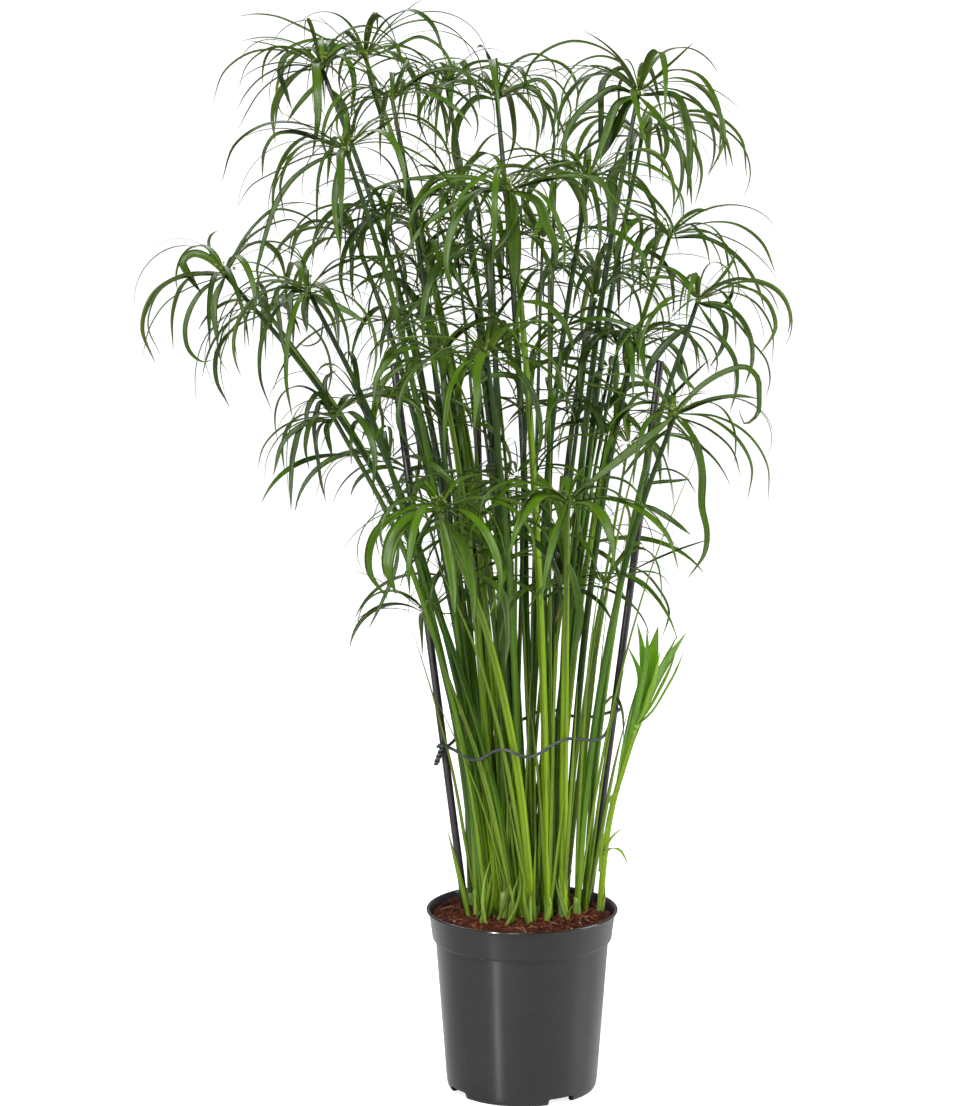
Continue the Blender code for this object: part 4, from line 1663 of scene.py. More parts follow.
@dataclass(kw_only=True)
class WireTie(Assembly):
    """The coated wire round the clump, with its two ends twisted together."""

    solid: str = "tie_wire"
    tail_rings: int = 9
    fineness: int = 5
    sides: int = 14
    width: float = 0.0032
    twist_width: float = 0.0028
    twist_radius: float = 0.0015
    twist_turns: float = 2.2
    twist_steps: int = 16
    twist_top: tuple[float, float, float] = (-0.0785, -0.0056, 0.3480)
    twist_end: tuple[float, float, float] = (-0.0855, -0.0066, 0.3290)
    past_stake: tuple[float, float, float] = (-0.0838, 0.0034, 0.3450)

    def build(self) -> None:
        """Sweeps the loop and its twisted ends, and puts them on the object."""
        spine = Solid(bpy.data.objects[self.solid]).tube()
        loop = spine[self.tail_rings : -self.tail_rings]
        ends = [self.twisted(loop[:1], 0.0), self.twisted(np.array([loop[-1], self.past_stake]), math.pi)]
        strands = [self.strand(loop, self.width)] + [self.strand(end, self.twist_width) for end in ends]
        skin = WireCoating().material(self.effects)
        hand_over(sweep("clump_tie", round_section(self.sides), strands, [skin]), Slot.WIRE, self.solid)

    def twisted(self, lead: np.ndarray, turn: float) -> np.ndarray:
        """Winds one end of the loop round the line of the twist.

        Args:
            lead: The points that it comes from.
            turn: Where it starts round that line, in radians.

        Returns:
            The points of the end.
        """
        top, end = np.array(self.twist_top), np.array(self.twist_end)
        level = Vector(end - top).to_track_quat("Z", "Y")
        side, up = np.array(level @ Vector((1, 0, 0))), np.array(level @ Vector((0, 1, 0)))
        shares = np.linspace(0, 1, self.twist_steps)[:, None]
        turns = turn + math.tau * self.twist_turns * shares
        wound = self.twist_radius * (side * np.cos(turns) + up * np.sin(turns))
        return np.concatenate([lead, top + (end - top) * shares + wound])

    def strand(self, points: np.ndarray, width: float) -> Strand:
        """Rounds one stretch of the tie's line and gives it its width."""
        course = Course(points, self.fineness * len(points))
        return Strand(course.points, np.full(len(course.points), width), course.across(UP))


@dataclass(kw_only=True)
class Stems(Grown):
    """The culms: rounded three-cornered stems with fine ribs, each in a papery sheath at its foot."""

    seed: int = 11
    count: int = 27
    young: int = 27
    stations: int = 30
    slimness: float = 0.92
    young_span: float = 0.25
    tones: tuple[float, float] = (0.12, 0.86)
    # The stems listed as bright get painted front light at their feet, and the stems listed as dark get
    # painted shade.
    bright: tuple[int, ...] = (2, 6, 12, 15, 17, 20, 21, 25, 27)
    bright_tones: tuple[float, float] = (0.9, 1.1)
    dark: tuple[int, ...] = (3, 8, 10, 16, 23)
    dark_tones: tuple[float, float] = (0.02, 0.18)
    cut_place: tuple[float, float, float] = (0, 0, 0.74)
    cut_slant: tuple[float, float, float] = (0.26, 0.1, 0.9)
    cut_low: float = 0.7
    sheath_wall: float = 0.1
    sheath_height: tuple[float, float] = (0.016, 0.044)
    sheath_width: tuple[float, float] = (1.0, 1.1)
    layers: tuple[tuple[float, float], ...] = ((1.0, 0.0), (0.62, 0.09))

    def build(self) -> list[Line]:
        """Models every stem on its solid.

        Returns:
            The stems' middle lines.
        """
        skin = StemSkin().material(self.effects)
        sheath = self.sheath(Papery().material(self.effects))
        section = round_section(36, ribs=12, depth=0.02, corners=0.09)
        found = []
        for number in range(1, self.count + 1):
            name = f"stem_{number:02d}"
            line = Solid(bpy.data.objects[name]).rod()
            found.append(line)
            culm = sweep(f"culm_{number:02d}", section, [self.strand(number, line)], [skin])
            wrap = copies("wrap", sheath, self.wraps(line), [self.random.random() for _ in self.layers])
            hand_over(join(culm.name, [culm, wrap]), Slot.STEM, name)
        discard(sheath)
        return found

    def strand(self, number: int, line: Line) -> Strand:
        """Rounds one stem's line and gives it a tone; a low tone brings painted shade and a high one painted
        front light at its foot.

        Args:
            number: The stem's number.
            line: Its middle line.

        Returns:
            The smooth strand.
        """
        course = Course(line.points, self.stations)
        radii = course.follow(line.radii[:, None])[:, 0]
        turn = self.random.uniform(0, math.tau)
        tone = self.random.uniform(*self.tones)
        if number in self.bright:
            tone = self.random.uniform(*self.bright_tones)
        elif number in self.dark:
            tone = self.random.uniform(*self.dark_tones)
        across = course.across((math.cos(turn), math.sin(turn), 0.0))
        span = self.young_span if number == self.young else 1.0
        return Strand(course.points, 2 * self.slimness * radii, across, tone, span=span)

    def sheath(self, skin: bpy.types.Material) -> bpy.types.Object:
        """Models one sheath: a thin open tube, one unit high and wide, cut slantwise at its top.

        Args:
            skin: The material.

        Returns:
            The sheath.
        """
        bpy.ops.mesh.primitive_cylinder_add(
            vertices=24, radius=1, depth=1, end_fill_type="NOTHING", location=(0, 0, 0.5)
        )
        sheath = bpy.context.object
        bpy.ops.object.transform_apply(location=True, rotation=False, scale=False)
        with editing(sheath, Pick.EDGE):
            pick(sheath, Pick.EDGE, lambda middle, normal: 0.2 < middle.z < 0.8)
            bpy.ops.mesh.subdivide(number_cuts=5)
            bpy.ops.mesh.select_all(action="SELECT")
            bpy.ops.mesh.bisect(plane_co=self.cut_place, plane_no=self.cut_slant, clear_outer=True)
        carry(sheath.data, "along", np.array([vert.co.z for vert in sheath.data.vertices]))
        turns = np.array([math.atan2(vert.co.y, vert.co.x) for vert in sheath.data.vertices])
        carry(sheath.data, "side", turns / math.pi)
        modify(sheath, "SOLIDIFY", thickness=self.sheath_wall, offset=-1)
        bpy.ops.object.shade_smooth()
        sheath.data.materials.append(skin)
        return sheath

    def wraps(self, line: Line) -> list[Matrix]:
        """Places two sheaths on a stem's foot, one inside the other.

        Args:
            line: The stem's middle line.

        Returns:
            Where the sheaths go.
        """
        foot = Vector(line.points[0])
        lean = (Vector(line.points[1]) - foot).normalized().to_track_quat("Z", "X")
        places = []
        for share, gap in self.layers:
            high = self.random.uniform(*self.sheath_height) * share
            wide = float(line.radii[0]) * (self.random.uniform(*self.sheath_width) + gap)
            turn = lean @ Quaternion(UP, self.random.uniform(0, math.tau))
            places.append(Matrix.LocRotScale(foot, turn, Vector((wide, wide, high / self.cut_low))))
        return places


@dataclass(frozen=True)
class Growth:
    """A sort of bract that leaves its hub rising, arches over and hangs. Its slopes are in degrees."""

    count: tuple[int, int]
    length: tuple[float, float]
    width: tuple[float, float]
    rise: tuple[float, float]
    fall: tuple[float, float]
    stations: int
    swing: float = 0.9
    bend: tuple[float, float] = (0.7, 1.9)
    roll: float = 1.5
    palest: float = 0.9
    thin: float = 0.004
    jitter: float = 0.35
    places: tuple[float, ...] = (0, 0.15, 0.45, 0.8, 1)
    levels: tuple[float, ...] = (0.5, 0.85, 1, 0.52, 0.08)

    def heading(self, place: int, count: int, random: Random) -> float:
        """Which way one of a ring of bracts heads, in radians round the hub."""
        return math.tau * (place + random.uniform(-self.jitter, self.jitter)) / count

    def bract(self, hub: Vector, turn: float, length: float, random: Random) -> Strand:
        """Draws one bract.

        Args:
            hub: Where it starts.
            turn: Which way it heads, in radians round the hub.
            length: Its length.
            random: The source of chance.

        Returns:
            The bract.
        """
        rise, fall = random.uniform(*self.rise), random.uniform(*self.fall)
        swing, bend = random.uniform(-self.swing, self.swing), random.uniform(*self.bend)
        shares = np.linspace(0, 1, self.stations)
        slopes = np.radians(rise + (fall - rise) * shares**bend)
        headings = turn + swing * shares
        flat = np.cos(slopes)
        steps = np.stack([flat * np.cos(headings), flat * np.sin(headings), np.sin(slopes)], axis=1)
        line = np.array(hub) + np.cumsum(steps, axis=0) * length / self.stations
        along = directions(line)
        sides = np.stack([-np.sin(headings), np.cos(headings), np.zeros(self.stations)], axis=1)
        sides = square_to(sides, along)
        roll = random.uniform(-self.roll, self.roll) * shares[:, None]
        sides = sides * np.cos(roll) + np.cross(along, sides) * np.sin(roll)
        width = random.uniform(*self.width)
        tone = random.uniform(0.0, self.palest) * min(1.0, width / self.thin)
        return Strand(line, width * np.interp(shares, self.places, self.levels), sides, tone)


def knob(place: Vector, lean: Vector, radius: float, skin: bpy.types.Material) -> bpy.types.Object:
    """Models the short knob that a crown's bracts grow from.

    Args:
        place: Its middle.
        lean: The stem's direction under it.
        radius: The stem's radius under it.
        skin: The material.

    Returns:
        The knob.
    """
    bulge, crease, steep = 1.35, 0.05, 0.5
    turn = lean.to_track_quat("Z", "X").to_euler()
    bpy.ops.mesh.primitive_uv_sphere_add(
        segments=18, ring_count=10, radius=radius * bulge, location=place, rotation=turn
    )
    ball = bpy.context.object
    with editing(ball, Pick.FACE):
        pick(ball, Pick.FACE, lambda middle, normal: abs(normal.z) < steep)
        bpy.ops.mesh.inset(thickness=radius * crease, use_individual=True)
    bpy.ops.object.shade_smooth()
    ball.data.materials.append(skin)
    for label, value in (("along", 0.05), ("side", 0.0), ("upper", 0.0), ("tone", 0.5)):
        carry(ball.data, label, np.full(len(ball.data.vertices), value))
    return ball


@dataclass(kw_only=True)
class BractCrowns(Assembly):
    """The leaf crowns: broad keeled bracts along their solids, wiry ones between them, and a flower tuft."""

    stems: Sequence[Line]
    young: int = 27
    tones: tuple[float, float] = (0.05, 0.85)
    bright: tuple[int, ...] = (20, 21, 27)
    bright_tones: tuple[float, float] = (0.9, 1.5)
    sparse: tuple[int, ...] = (11, 19, 22)
    sparse_share: float = 0.34
    hub_reach: float = 0.0052
    hub_rise: float = 0.0025
    root_share: float = 0.12
    stations: int = 26
    opening: float = 0.45
    wave: tuple[float, float] = (0.0006, 0.0016)
    waves: tuple[float, float] = (5, 11)
    wave_shift: tuple[float, float] = (0, 6)
    broader: float = 1.06
    growths: tuple[Growth, ...] = (
        Growth((7, 9), (0.11, 0.20), (0.0034, 0.0076), (5, 62), (-122, -40), 20),
        Growth((2, 3), (0.07, 0.13), (0.0030, 0.0060), (20, 60), (-25, 45), 16),
        Growth((7, 10), (0.10, 0.20), (0.0011, 0.0024), (5, 66), (-140, -25), 16),
    )
    tries: int = 20
    shrink: float = 0.02
    margin: float = 0.013
    rays: tuple[int, int] = (8, 12)
    ray_spread: tuple[float, float] = (5, 62)
    ray_length: tuple[float, float] = (0.003, 0.014)
    ray_width: tuple[float, float] = (0.0008, 0.0005)
    ray_stations: int = 5
    ray_sag: float = 0.12
    head_length: tuple[float, float] = (0.0020, 0.0036)
    spikelets: int = 4
    spikelet_tilt: float = math.radians(48)
    profile: tuple[tuple[float, float], ...] = (
        (0.0, 0.42),
        (0.12, 0.74),
        (0.3, 0.97),
        (0.45, 1.0),
        (0.65, 0.82),
        (0.82, 0.5),
        (0.94, 0.2),
        (1.0, 0.045),
    )

    def build(self) -> None:
        """Models every crown on its solid."""
        mature = MATURE.material(self.effects)
        fresh = YOUNG.material(self.effects)
        husk = Plain("Flower heads", srgb(168, 186, 84), srgb(104, 118, 44)).material(self.effects)
        head = self.flower_head(husk)
        for number, line in enumerate(self.stems, start=1):
            self.crown(number, line, [fresh if number == self.young else mature, husk], head)
        discard(head)

    def crown(
        self, number: int, line: Line, skins: Sequence[bpy.types.Material], head: bpy.types.Object
    ) -> None:
        """Models one crown and puts it on the object.

        Args:
            number: The crown's number.
            line: Its stem's middle line.
            skins: The bract's and the husk's materials.
            head: One modelled flower head.
        """
        random = Random(f"crown {number}")
        node = bpy.data.objects[f"leaf_crown_{number:02d}"]
        lean = Vector(directions(line.points)[-1])
        hub = Vector(line.points[-1]) + lean * self.hub_rise
        tones = self.bright_tones if number in self.bright else self.tones
        blades = [self.refine(blade, tones, random) for blade in self.read(Solid(node), hub)]
        if number == self.young:
            self.gather(blades)
        else:
            share = self.sparse_share if number in self.sparse else 1.0
            for growth in self.growths:
                blades += self.extra_bracts(node.name, hub, growth, share, random)
        crown = sweep(f"bracts_{number:02d}", blade_section(), blades, skins)
        parts = [crown, knob(hub, lean, float(line.radii[-1]), skins[0])]
        if number != self.young:
            parts += self.tuft(hub, random, skins, head)
        hand_over(join(crown.name, parts), Slot.BRACT, node.name)

    def read(self, solid: Solid, hub: Vector) -> list[Strand]:
        """Reads the blades of a crown's solid.

        Args:
            solid: The crown.
            hub: The middle of its hub.

        Returns:
            The blades, with their edges' middle, width and direction at each station.
        """
        centre = np.array(hub)
        near = np.linalg.norm(solid.places - centre, axis=1) < self.hub_reach
        core = {int(corner) for corner in np.nonzero(near)[0]}
        left = set(range(len(solid.places))) - core
        blades = []
        while left:
            group = set().union(*solid.walk({min(left)}, core))
            left -= group
            start = {corner for corner in group if solid.joined[corner] & core}
            rings = [sorted(ring) for ring in solid.walk(start, core)]
            if len(rings) >= 3 and all(len(ring) == 3 for ring in rings):
                blades.append(self.blade(solid, rings, centre))
            else:
                LOG.warning("a blade has rings of %s corners", [len(ring) for ring in rings])
        return blades

    def blade(self, solid: Solid, rings: Sequence[Sequence[int]], centre: np.ndarray) -> Strand:
        """Reads one blade: in each ring the widest pair are its edges and the third is its keel.

        Args:
            solid: The crown.
            rings: The blade's rings of three corners.
            centre: The hub's middle.

        Returns:
            The blade.
        """
        middles, widths, sides, keels = [], [], [], []
        for ring in rings:
            corners = solid.places[list(ring)]
            pairs = [(0, 1, 2), (0, 2, 1), (1, 2, 0)]
            one, two, keel = max(pairs, key=lambda pair: np.linalg.norm(corners[pair[0]] - corners[pair[1]]))
            middles.append((corners[one] + corners[two]) / 2)
            widths.append(np.linalg.norm(corners[one] - corners[two]))
            sides.append((corners[two] - corners[one]) / widths[-1])
            keels.append(corners[keel])
        root = centre + (middles[0] - centre) * self.root_share
        points = np.array([root, *middles])
        along = directions(points)[1:]
        across = [
            side if np.dot(np.cross(heading, side), middle - keel) > 0 else -side
            for heading, side, middle, keel in zip(along, sides, middles, keels)
        ]
        return Strand(points, np.array([widths[0], *widths]), np.array([across[0], *across]))

    def refine(self, blade: Strand, tones: tuple[float, float], random: Random) -> Strand:
        """Rounds a blade's line, gives it a pointed outline and a little unevenness.

        Args:
            blade: The blade as read.
            tones: The range that its tone is in.
            random: The source of chance.

        Returns:
            The smooth blade.
        """
        course = Course(blade.points, self.stations)
        shares = course.shares
        across = square_to(course.follow(blade.across), directions(course.points))
        height, waves, shift = (random.uniform(*span) for span in (self.wave, self.waves, self.wave_shift))
        wave = height * np.sin(shares * waves + shift)
        points = course.points + across * (wave * shares)[:, None]
        places, levels = zip(*self.profile)
        outline = through(np.array(places), np.array(levels)[:, None], shares)[:, 0]
        return Strand(points, blade.widths.max() * self.broader * outline, across, random.uniform(*tones))

    def gather(self, blades: Sequence[Strand]) -> None:
        """Draws the young crown's blades together, because it has hardly opened.

        Args:
            blades: The blades.
        """
        middle = np.mean([blade.points for blade in blades], axis=0)
        for blade in blades:
            blade.points = middle + (blade.points - middle) * self.opening

    def extra_bracts(
        self, name: str, hub: Vector, growth: Growth, share: float, random: Random
    ) -> list[Strand]:
        """Grows the narrower bracts between the broad ones, inside the room that the solid fills.

        Args:
            name: The solid's name.
            hub: The middle of the hub.
            growth: The sort of bract.
            share: How much of the usual number the crown has.
            random: The source of chance.

        Returns:
            The bracts.
        """
        low, high = (np.array(corner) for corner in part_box(name))
        wanted = round(random.randint(*growth.count) * share)
        grown: list[Strand] = []
        for attempt in range(wanted * self.tries):
            if len(grown) == wanted:
                break
            turn = growth.heading(len(grown), wanted, random)
            length = random.uniform(*growth.length) * (1 - self.shrink * (attempt % self.tries))
            bract = growth.bract(hub, turn, length, random)
            if (bract.points > low - self.margin).all() and (bract.points < high + self.margin).all():
                grown.append(bract)
        return grown

    def flower_head(self, husk: bpy.types.Material) -> bpy.types.Object:
        """Models one head of five pointed spikelets, one unit long.

        Args:
            husk: The material.

        Returns:
            The head.
        """
        bpy.ops.mesh.primitive_uv_sphere_add(segments=6, ring_count=5, radius=0.5, location=(0, 0, 0.5))
        spikelet = bpy.context.object
        bpy.ops.object.transform_apply(location=True, rotation=False, scale=False)
        with editing(spikelet):
            bpy.ops.mesh.select_all(action="SELECT")
            bpy.ops.transform.resize(value=(0.42, 0.42, 1), center_override=(0, 0, 0))
        spikelet.data.materials.append(husk)
        bpy.ops.object.shade_smooth()
        places = [Matrix.Identity(4)]
        for index in range(self.spikelets):
            round_about = Quaternion(UP, index * math.tau / self.spikelets)
            turn = round_about @ Quaternion((1, 0, 0), self.spikelet_tilt)
            places.append(Matrix.LocRotScale((0, 0, 0), turn, Vector((0.8, 0.8, 0.8))))
        head = copies("flower_head", spikelet, places, [0.5] * len(places))
        discard(spikelet)
        return head

    def tuft(
        self, hub: Vector, random: Random, skins: Sequence[bpy.types.Material], head: bpy.types.Object
    ) -> list[bpy.types.Object]:
        """Grows the small flower tuft: thin rays with a head of spikelets on each.

        Args:
            hub: The middle of the hub.
            random: The source of chance.
            skins: The bract's and the husk's materials.
            head: One modelled head.

        Returns:
            The rays and the heads.
        """
        shares = np.linspace(0, 1, self.ray_stations)
        rays, places = [], []
        for _ in range(random.randint(*self.rays)):
            turn = random.uniform(0, math.tau)
            spread = math.radians(random.uniform(*self.ray_spread))
            size = random.uniform(*self.ray_length)
            flat = math.sin(spread)
            out = np.array((flat * math.cos(turn), flat * math.sin(turn), math.cos(spread)))
            line = np.array(hub) + out * size * shares[:, None]
            line[:, 2] -= size * self.ray_sag * shares**2
            side = np.tile([-math.sin(turn), math.cos(turn), 0.0], (self.ray_stations, 1))
            widths = np.linspace(*self.ray_width, self.ray_stations)
            rays.append(Strand(line, widths, square_to(side, directions(line)), 0.9))
            long = random.uniform(*self.head_length)
            facing = Vector(out).to_track_quat("Z", "X")
            places.append(Matrix.LocRotScale(Vector(line[-1]), facing, Vector((long, long, long))))
        stalks = sweep("rays", round_section(4), rays, skins[:1])
        return [stalks, copies("heads", head, places, [0.5] * len(places))]


@dataclass(frozen=True)
class Seen:
    """A bract as it is seen: how deep it hangs, its width, its tone, and the picture places it passes."""

    depth: float
    width: float
    tone: float
    pixels: tuple[tuple[int, int], ...]


@dataclass(kw_only=True)
class SeenBracts(Grown):
    """The bracts whose course stands out in the picture, each drawn where it is seen."""

    studio: Studio
    stems: Sequence[Line]
    seed: int = 5
    upper_left: tuple[Seen, ...] = (
        Seen(0.06, 0.003, 0.4, (
            (366, 61), (345, 49), (325, 39), (300, 26),
            (275, 16), (255, 14), (235, 17),
        )),
        Seen(0.045, 0.007, 0.3, ((317, 60), (300, 51), (286, 56), (280, 72), (286, 92), (292, 110))),
        Seen(0.045, 0.0025, 0.1, ((315, 61), (295, 65), (262, 77), (247, 92), (236, 111))),
        Seen(0.03, 0.002, 0.1, ((307, 65), (282, 75), (260, 92), (247, 112), (237, 132))),
        Seen(-0.11, 0.005, 0.3, ((344, 147), (317, 139), (292, 132), (275, 135), (266, 147), (262, 179))),
        Seen(-0.12, 0.006, 0.4, (
            (342, 155), (320, 160), (295, 177), (277, 202),
            (267, 230), (260, 257), (257, 270), (262, 290),
        )),
        Seen(-0.12, 0.0065, 0.7, ((346, 155), (339, 170), (335, 195), (336, 225), (340, 250))),
        Seen(-0.11, 0.002, 0.1, ((340, 152), (307, 157), (275, 172), (250, 187), (237, 207))),
        Seen(0.03, 0.0065, 0.5, ((330, 82), (312, 90), (297, 107), (287, 122))),
        Seen(0.0, 0.0085, 0.6, ((332, 85), (342, 105), (347, 125), (350, 145))),
        Seen(0.09, 0.0055, 0.3, ((367, 62), (372, 85), (380, 112), (387, 137))),
        Seen(0.1, 0.0045, 0.4, ((370, 60), (395, 47), (420, 37), (440, 47), (452, 67), (454, 92))),
    )
    upper_middle: tuple[Seen, ...] = (
        Seen(-0.02, 0.006, 0.3, ((394, 100), (415, 80), (437, 70), (460, 70), (475, 85), (480, 110))),
        Seen(-0.16, 0.0055, 0.5, ((505, 183), (475, 178), (440, 177), (405, 180), (365, 191))),
        Seen(-0.16, 0.0075, 0.6, ((505, 186), (477, 192), (452, 207), (425, 225), (402, 260))),
        Seen(0.04, 0.0035, 0.3, ((501, 82), (515, 62), (535, 54), (552, 62), (557, 82))),
        Seen(0.03, 0.0055, 0.4, ((502, 102), (522, 85), (540, 80), (552, 92), (556, 110), (550, 140))),
        Seen(0.05, 0.0055, 0.5, ((502, 100), (520, 87), (535, 90), (544, 107), (540, 140))),
        Seen(0.02, 0.006, 0.5, ((497, 82), (477, 97), (460, 120), (456, 147))),
        Seen(-0.17, 0.014, 0.6, ((509, 187), (512, 220), (515, 257), (514, 292))),
        Seen(-0.17, 0.0105, 0.7, ((517, 187), (537, 202), (547, 227), (555, 245), (556, 268))),
        Seen(-0.15, 0.0065, 0.5, ((515, 184), (547, 179), (580, 176), (600, 180), (610, 205), (612, 232))),
        Seen(-0.16, 0.0045, 0.5, ((512, 185), (517, 205), (510, 232), (490, 257))),
    )
    upper_right: tuple[Seen, ...] = (
        Seen(0.0, 0.009, 0.6, ((640, 80), (620, 102), (605, 137), (592, 172))),
        Seen(-0.01, 0.0095, 0.5, ((647, 80), (630, 102), (615, 132), (600, 160))),
        Seen(0.01, 0.0085, 0.6, ((657, 80), (677, 97), (687, 125), (690, 157), (687, 197))),
        Seen(0.03, 0.005, 0.5, ((660, 105), (675, 135), (682, 160), (680, 190), (672, 211))),
        Seen(0.0, 0.007, 0.5, ((645, 95), (660, 120), (667, 145), (660, 170))),
        Seen(0.0, 0.003, 0.2, ((640, 80), (620, 62), (600, 56), (580, 62), (560, 82))),
        Seen(-0.02, 0.0085, 0.4, ((640, 84), (615, 88), (592, 102), (575, 118), (566, 135), (565, 160))),
        Seen(0.02, 0.007, 0.4, ((640, 80), (622, 68), (606, 78), (601, 120), (600, 160))),
        Seen(0.03, 0.012, 0.5, ((608, 145), (612, 180), (612, 210), (607, 237))),
        Seen(0.0, 0.004, 0.2, ((620, 175), (640, 185), (655, 212), (655, 245))),
        Seen(-0.03, 0.005, 0.3, ((628, 198), (640, 220), (640, 245))),
    )
    far_left: tuple[Seen, ...] = (
        Seen(-0.03, 0.0095, 0.6, ((227, 270), (210, 259), (192, 254), (183, 261), (190, 277), (202, 294))),
        Seen(-0.03, 0.0055, 0.5, (
            (226, 273), (203, 290), (190, 310), (185, 332),
            (190, 352), (204, 362), (214, 359),
        )),
        Seen(-0.04, 0.007, 0.6, ((217, 274), (215, 300), (218, 347))),
        Seen(-0.03, 0.004, 0.2, ((222, 273), (195, 275), (170, 282), (155, 295), (142, 325))),
        Seen(-0.03, 0.0017, 0.1, ((214, 275), (185, 290), (167, 302), (150, 327), (142, 360))),
        Seen(-0.03, 0.0035, 0.2, (
            (229, 268), (242, 242), (260, 220), (274, 210),
            (295, 212), (315, 225), (317, 242),
        )),
        Seen(-0.03, 0.003, 0.1, ((230, 267), (250, 237), (272, 224), (295, 221), (302, 230))),
    )
    left: tuple[Seen, ...] = (
        Seen(-0.12, 0.003, 0.2, ((307, 292), (295, 285), (275, 282), (255, 300), (246, 320), (245, 350))),
        Seen(-0.12, 0.0065, 0.3, ((303, 288), (293, 292), (290, 312), (294, 337))),
        Seen(-0.12, 0.0055, 0.4, ((300, 286), (279, 288), (280, 325), (286, 362))),
        Seen(-0.12, 0.0075, 0.5, ((308, 293), (305, 305), (307, 332))),
        Seen(-0.13, 0.0075, 0.6, ((312, 292), (330, 303), (350, 313), (368, 325))),
        Seen(-0.06, 0.002, 0.1, ((330, 318), (318, 342), (307, 346), (295, 342))),
    )
    low_left: tuple[Seen, ...] = (
        Seen(-0.06, 0.006, 0.4, ((335, 412), (325, 395), (327, 377), (337, 370))),
        Seen(-0.07, 0.006, 0.3, ((334, 413), (317, 394), (308, 408), (307, 436))),
        Seen(-0.06, 0.0055, 0.3, ((334, 414), (321, 402), (315, 420), (314, 446))),
        Seen(-0.08, 0.006, 0.4, ((334, 416), (305, 424), (285, 440), (273, 476))),
        Seen(-0.09, 0.006, 0.4, ((334, 417), (304, 424), (294, 450), (291, 480), (291, 510))),
        Seen(-0.07, 0.006, 0.4, ((334, 417), (328, 424), (332, 457))),
        Seen(-0.08, 0.004, 0.2, ((334, 417), (322, 424), (316, 440), (318, 460), (321, 482), (326, 502))),
    )
    low_right: tuple[Seen, ...] = (
        Seen(-0.13, 0.0065, 0.5, (
            (677, 405), (700, 387), (730, 370), (745, 367), (757, 377),
            (759, 395), (757, 415), (745, 424), (739, 410),
        )),
        Seen(-0.12, 0.0055, 0.5, ((680, 407), (710, 400), (740, 396), (760, 399))),
        Seen(-0.14, 0.0075, 0.7, (
            (680, 418), (695, 440), (702, 470), (702, 508),
            (707, 532), (705, 552), (688, 578),
        )),
        Seen(-0.12, 0.0026, 0.2, ((682, 415), (710, 430), (732, 450), (741, 477))),
        Seen(-0.12, 0.004, 0.5, ((672, 407), (655, 387), (640, 377), (615, 374), (587, 377))),
        Seen(-0.16, 0.0095, 0.7, ((670, 413), (642, 442), (610, 467), (575, 495))),
        Seen(-0.15, 0.0045, 1.0, ((668, 428), (642, 452), (620, 480))),
    )
    far_right: tuple[Seen, ...] = (
        Seen(-0.05, 0.005, 0.4, ((697, 301), (708, 306), (722, 306), (730, 298), (734, 280))),
        Seen(-0.05, 0.006, 0.4, ((697, 301), (715, 303), (732, 310), (750, 337), (752, 362), (745, 385))),
        Seen(-0.05, 0.006, 0.5, ((697, 302), (712, 304), (724, 318), (723, 345), (710, 367))),
        Seen(-0.03, 0.0025, 0.2, ((697, 300), (725, 312), (752, 342), (767, 362), (770, 380), (765, 400))),
        Seen(-0.05, 0.005, 0.4, ((697, 303), (715, 330), (735, 360), (737, 385), (730, 412))),
        Seen(0.07, 0.0055, 0.3, ((680, 237), (705, 238), (735, 255), (757, 285), (765, 311))),
    )
    right_edge: tuple[Seen, ...] = (
        Seen(-0.07, 0.0065, 0.5, ((640, 503), (655, 510), (670, 519), (691, 535))),
        Seen(-0.05, 0.0045, 0.4, ((645, 484), (660, 482), (675, 481), (691, 479))),
        Seen(-0.05, 0.0024, 0.1, ((642, 475), (665, 469), (685, 477), (697, 495))),
    )
    right_middle: tuple[Seen, ...] = (
        Seen(-0.13, 0.003, 0.4, ((560, 372), (582, 381), (617, 392), (667, 407))),
        Seen(-0.1, 0.0085, 0.5, ((690, 322), (665, 345), (646, 380), (648, 400))),
        Seen(-0.05, 0.007, 0.4, ((668, 352), (680, 372), (697, 392))),
        Seen(-0.05, 0.0065, 0.4, ((636, 340), (605, 331), (580, 330))),
    )
    front: tuple[Seen, ...] = (
        Seen(-0.17, 0.0075, 1.0, ((420, 364), (400, 368), (385, 380), (374, 413), (373, 452))),
        Seen(-0.14, 0.0045, 0.4, ((405, 540), (395, 570), (383, 600), (368, 630))),
        Seen(-0.14, 0.006, 0.6, ((470, 505), (490, 490), (520, 486), (540, 500))),
        Seen(-0.16, 0.007, 0.6, ((545, 400), (520, 380), (495, 375), (470, 390))),
        Seen(-0.15, 0.008, 0.6, ((500, 330), (480, 345), (462, 375), (455, 410))),
        Seen(-0.15, 0.007, 0.5, ((520, 300), (545, 305), (565, 325), (575, 355))),
        Seen(-0.12, 0.006, 0.4, ((420, 300), (400, 310), (385, 330), (380, 360))),
        Seen(-0.16, 0.0085, 0.8, ((560, 560), (575, 585), (580, 620), (572, 660))),
        Seen(-0.15, 0.0075, 0.8, ((480, 560), (500, 590), (508, 630), (505, 670))),
        Seen(-0.12, 0.003, 0.3, ((615, 565), (643, 572), (658, 588), (669, 611), (662, 638))),
        Seen(-0.10, 0.011, 1.1, ((437, 515), (446, 540), (452, 575), (455, 615))),
        Seen(-0.10, 0.010, 1.0, ((437, 515), (462, 545), (473, 590), (474, 630))),
        Seen(-0.09, 0.009, 0.9, ((540, 470), (556, 500), (566, 540), (566, 585))),
    )
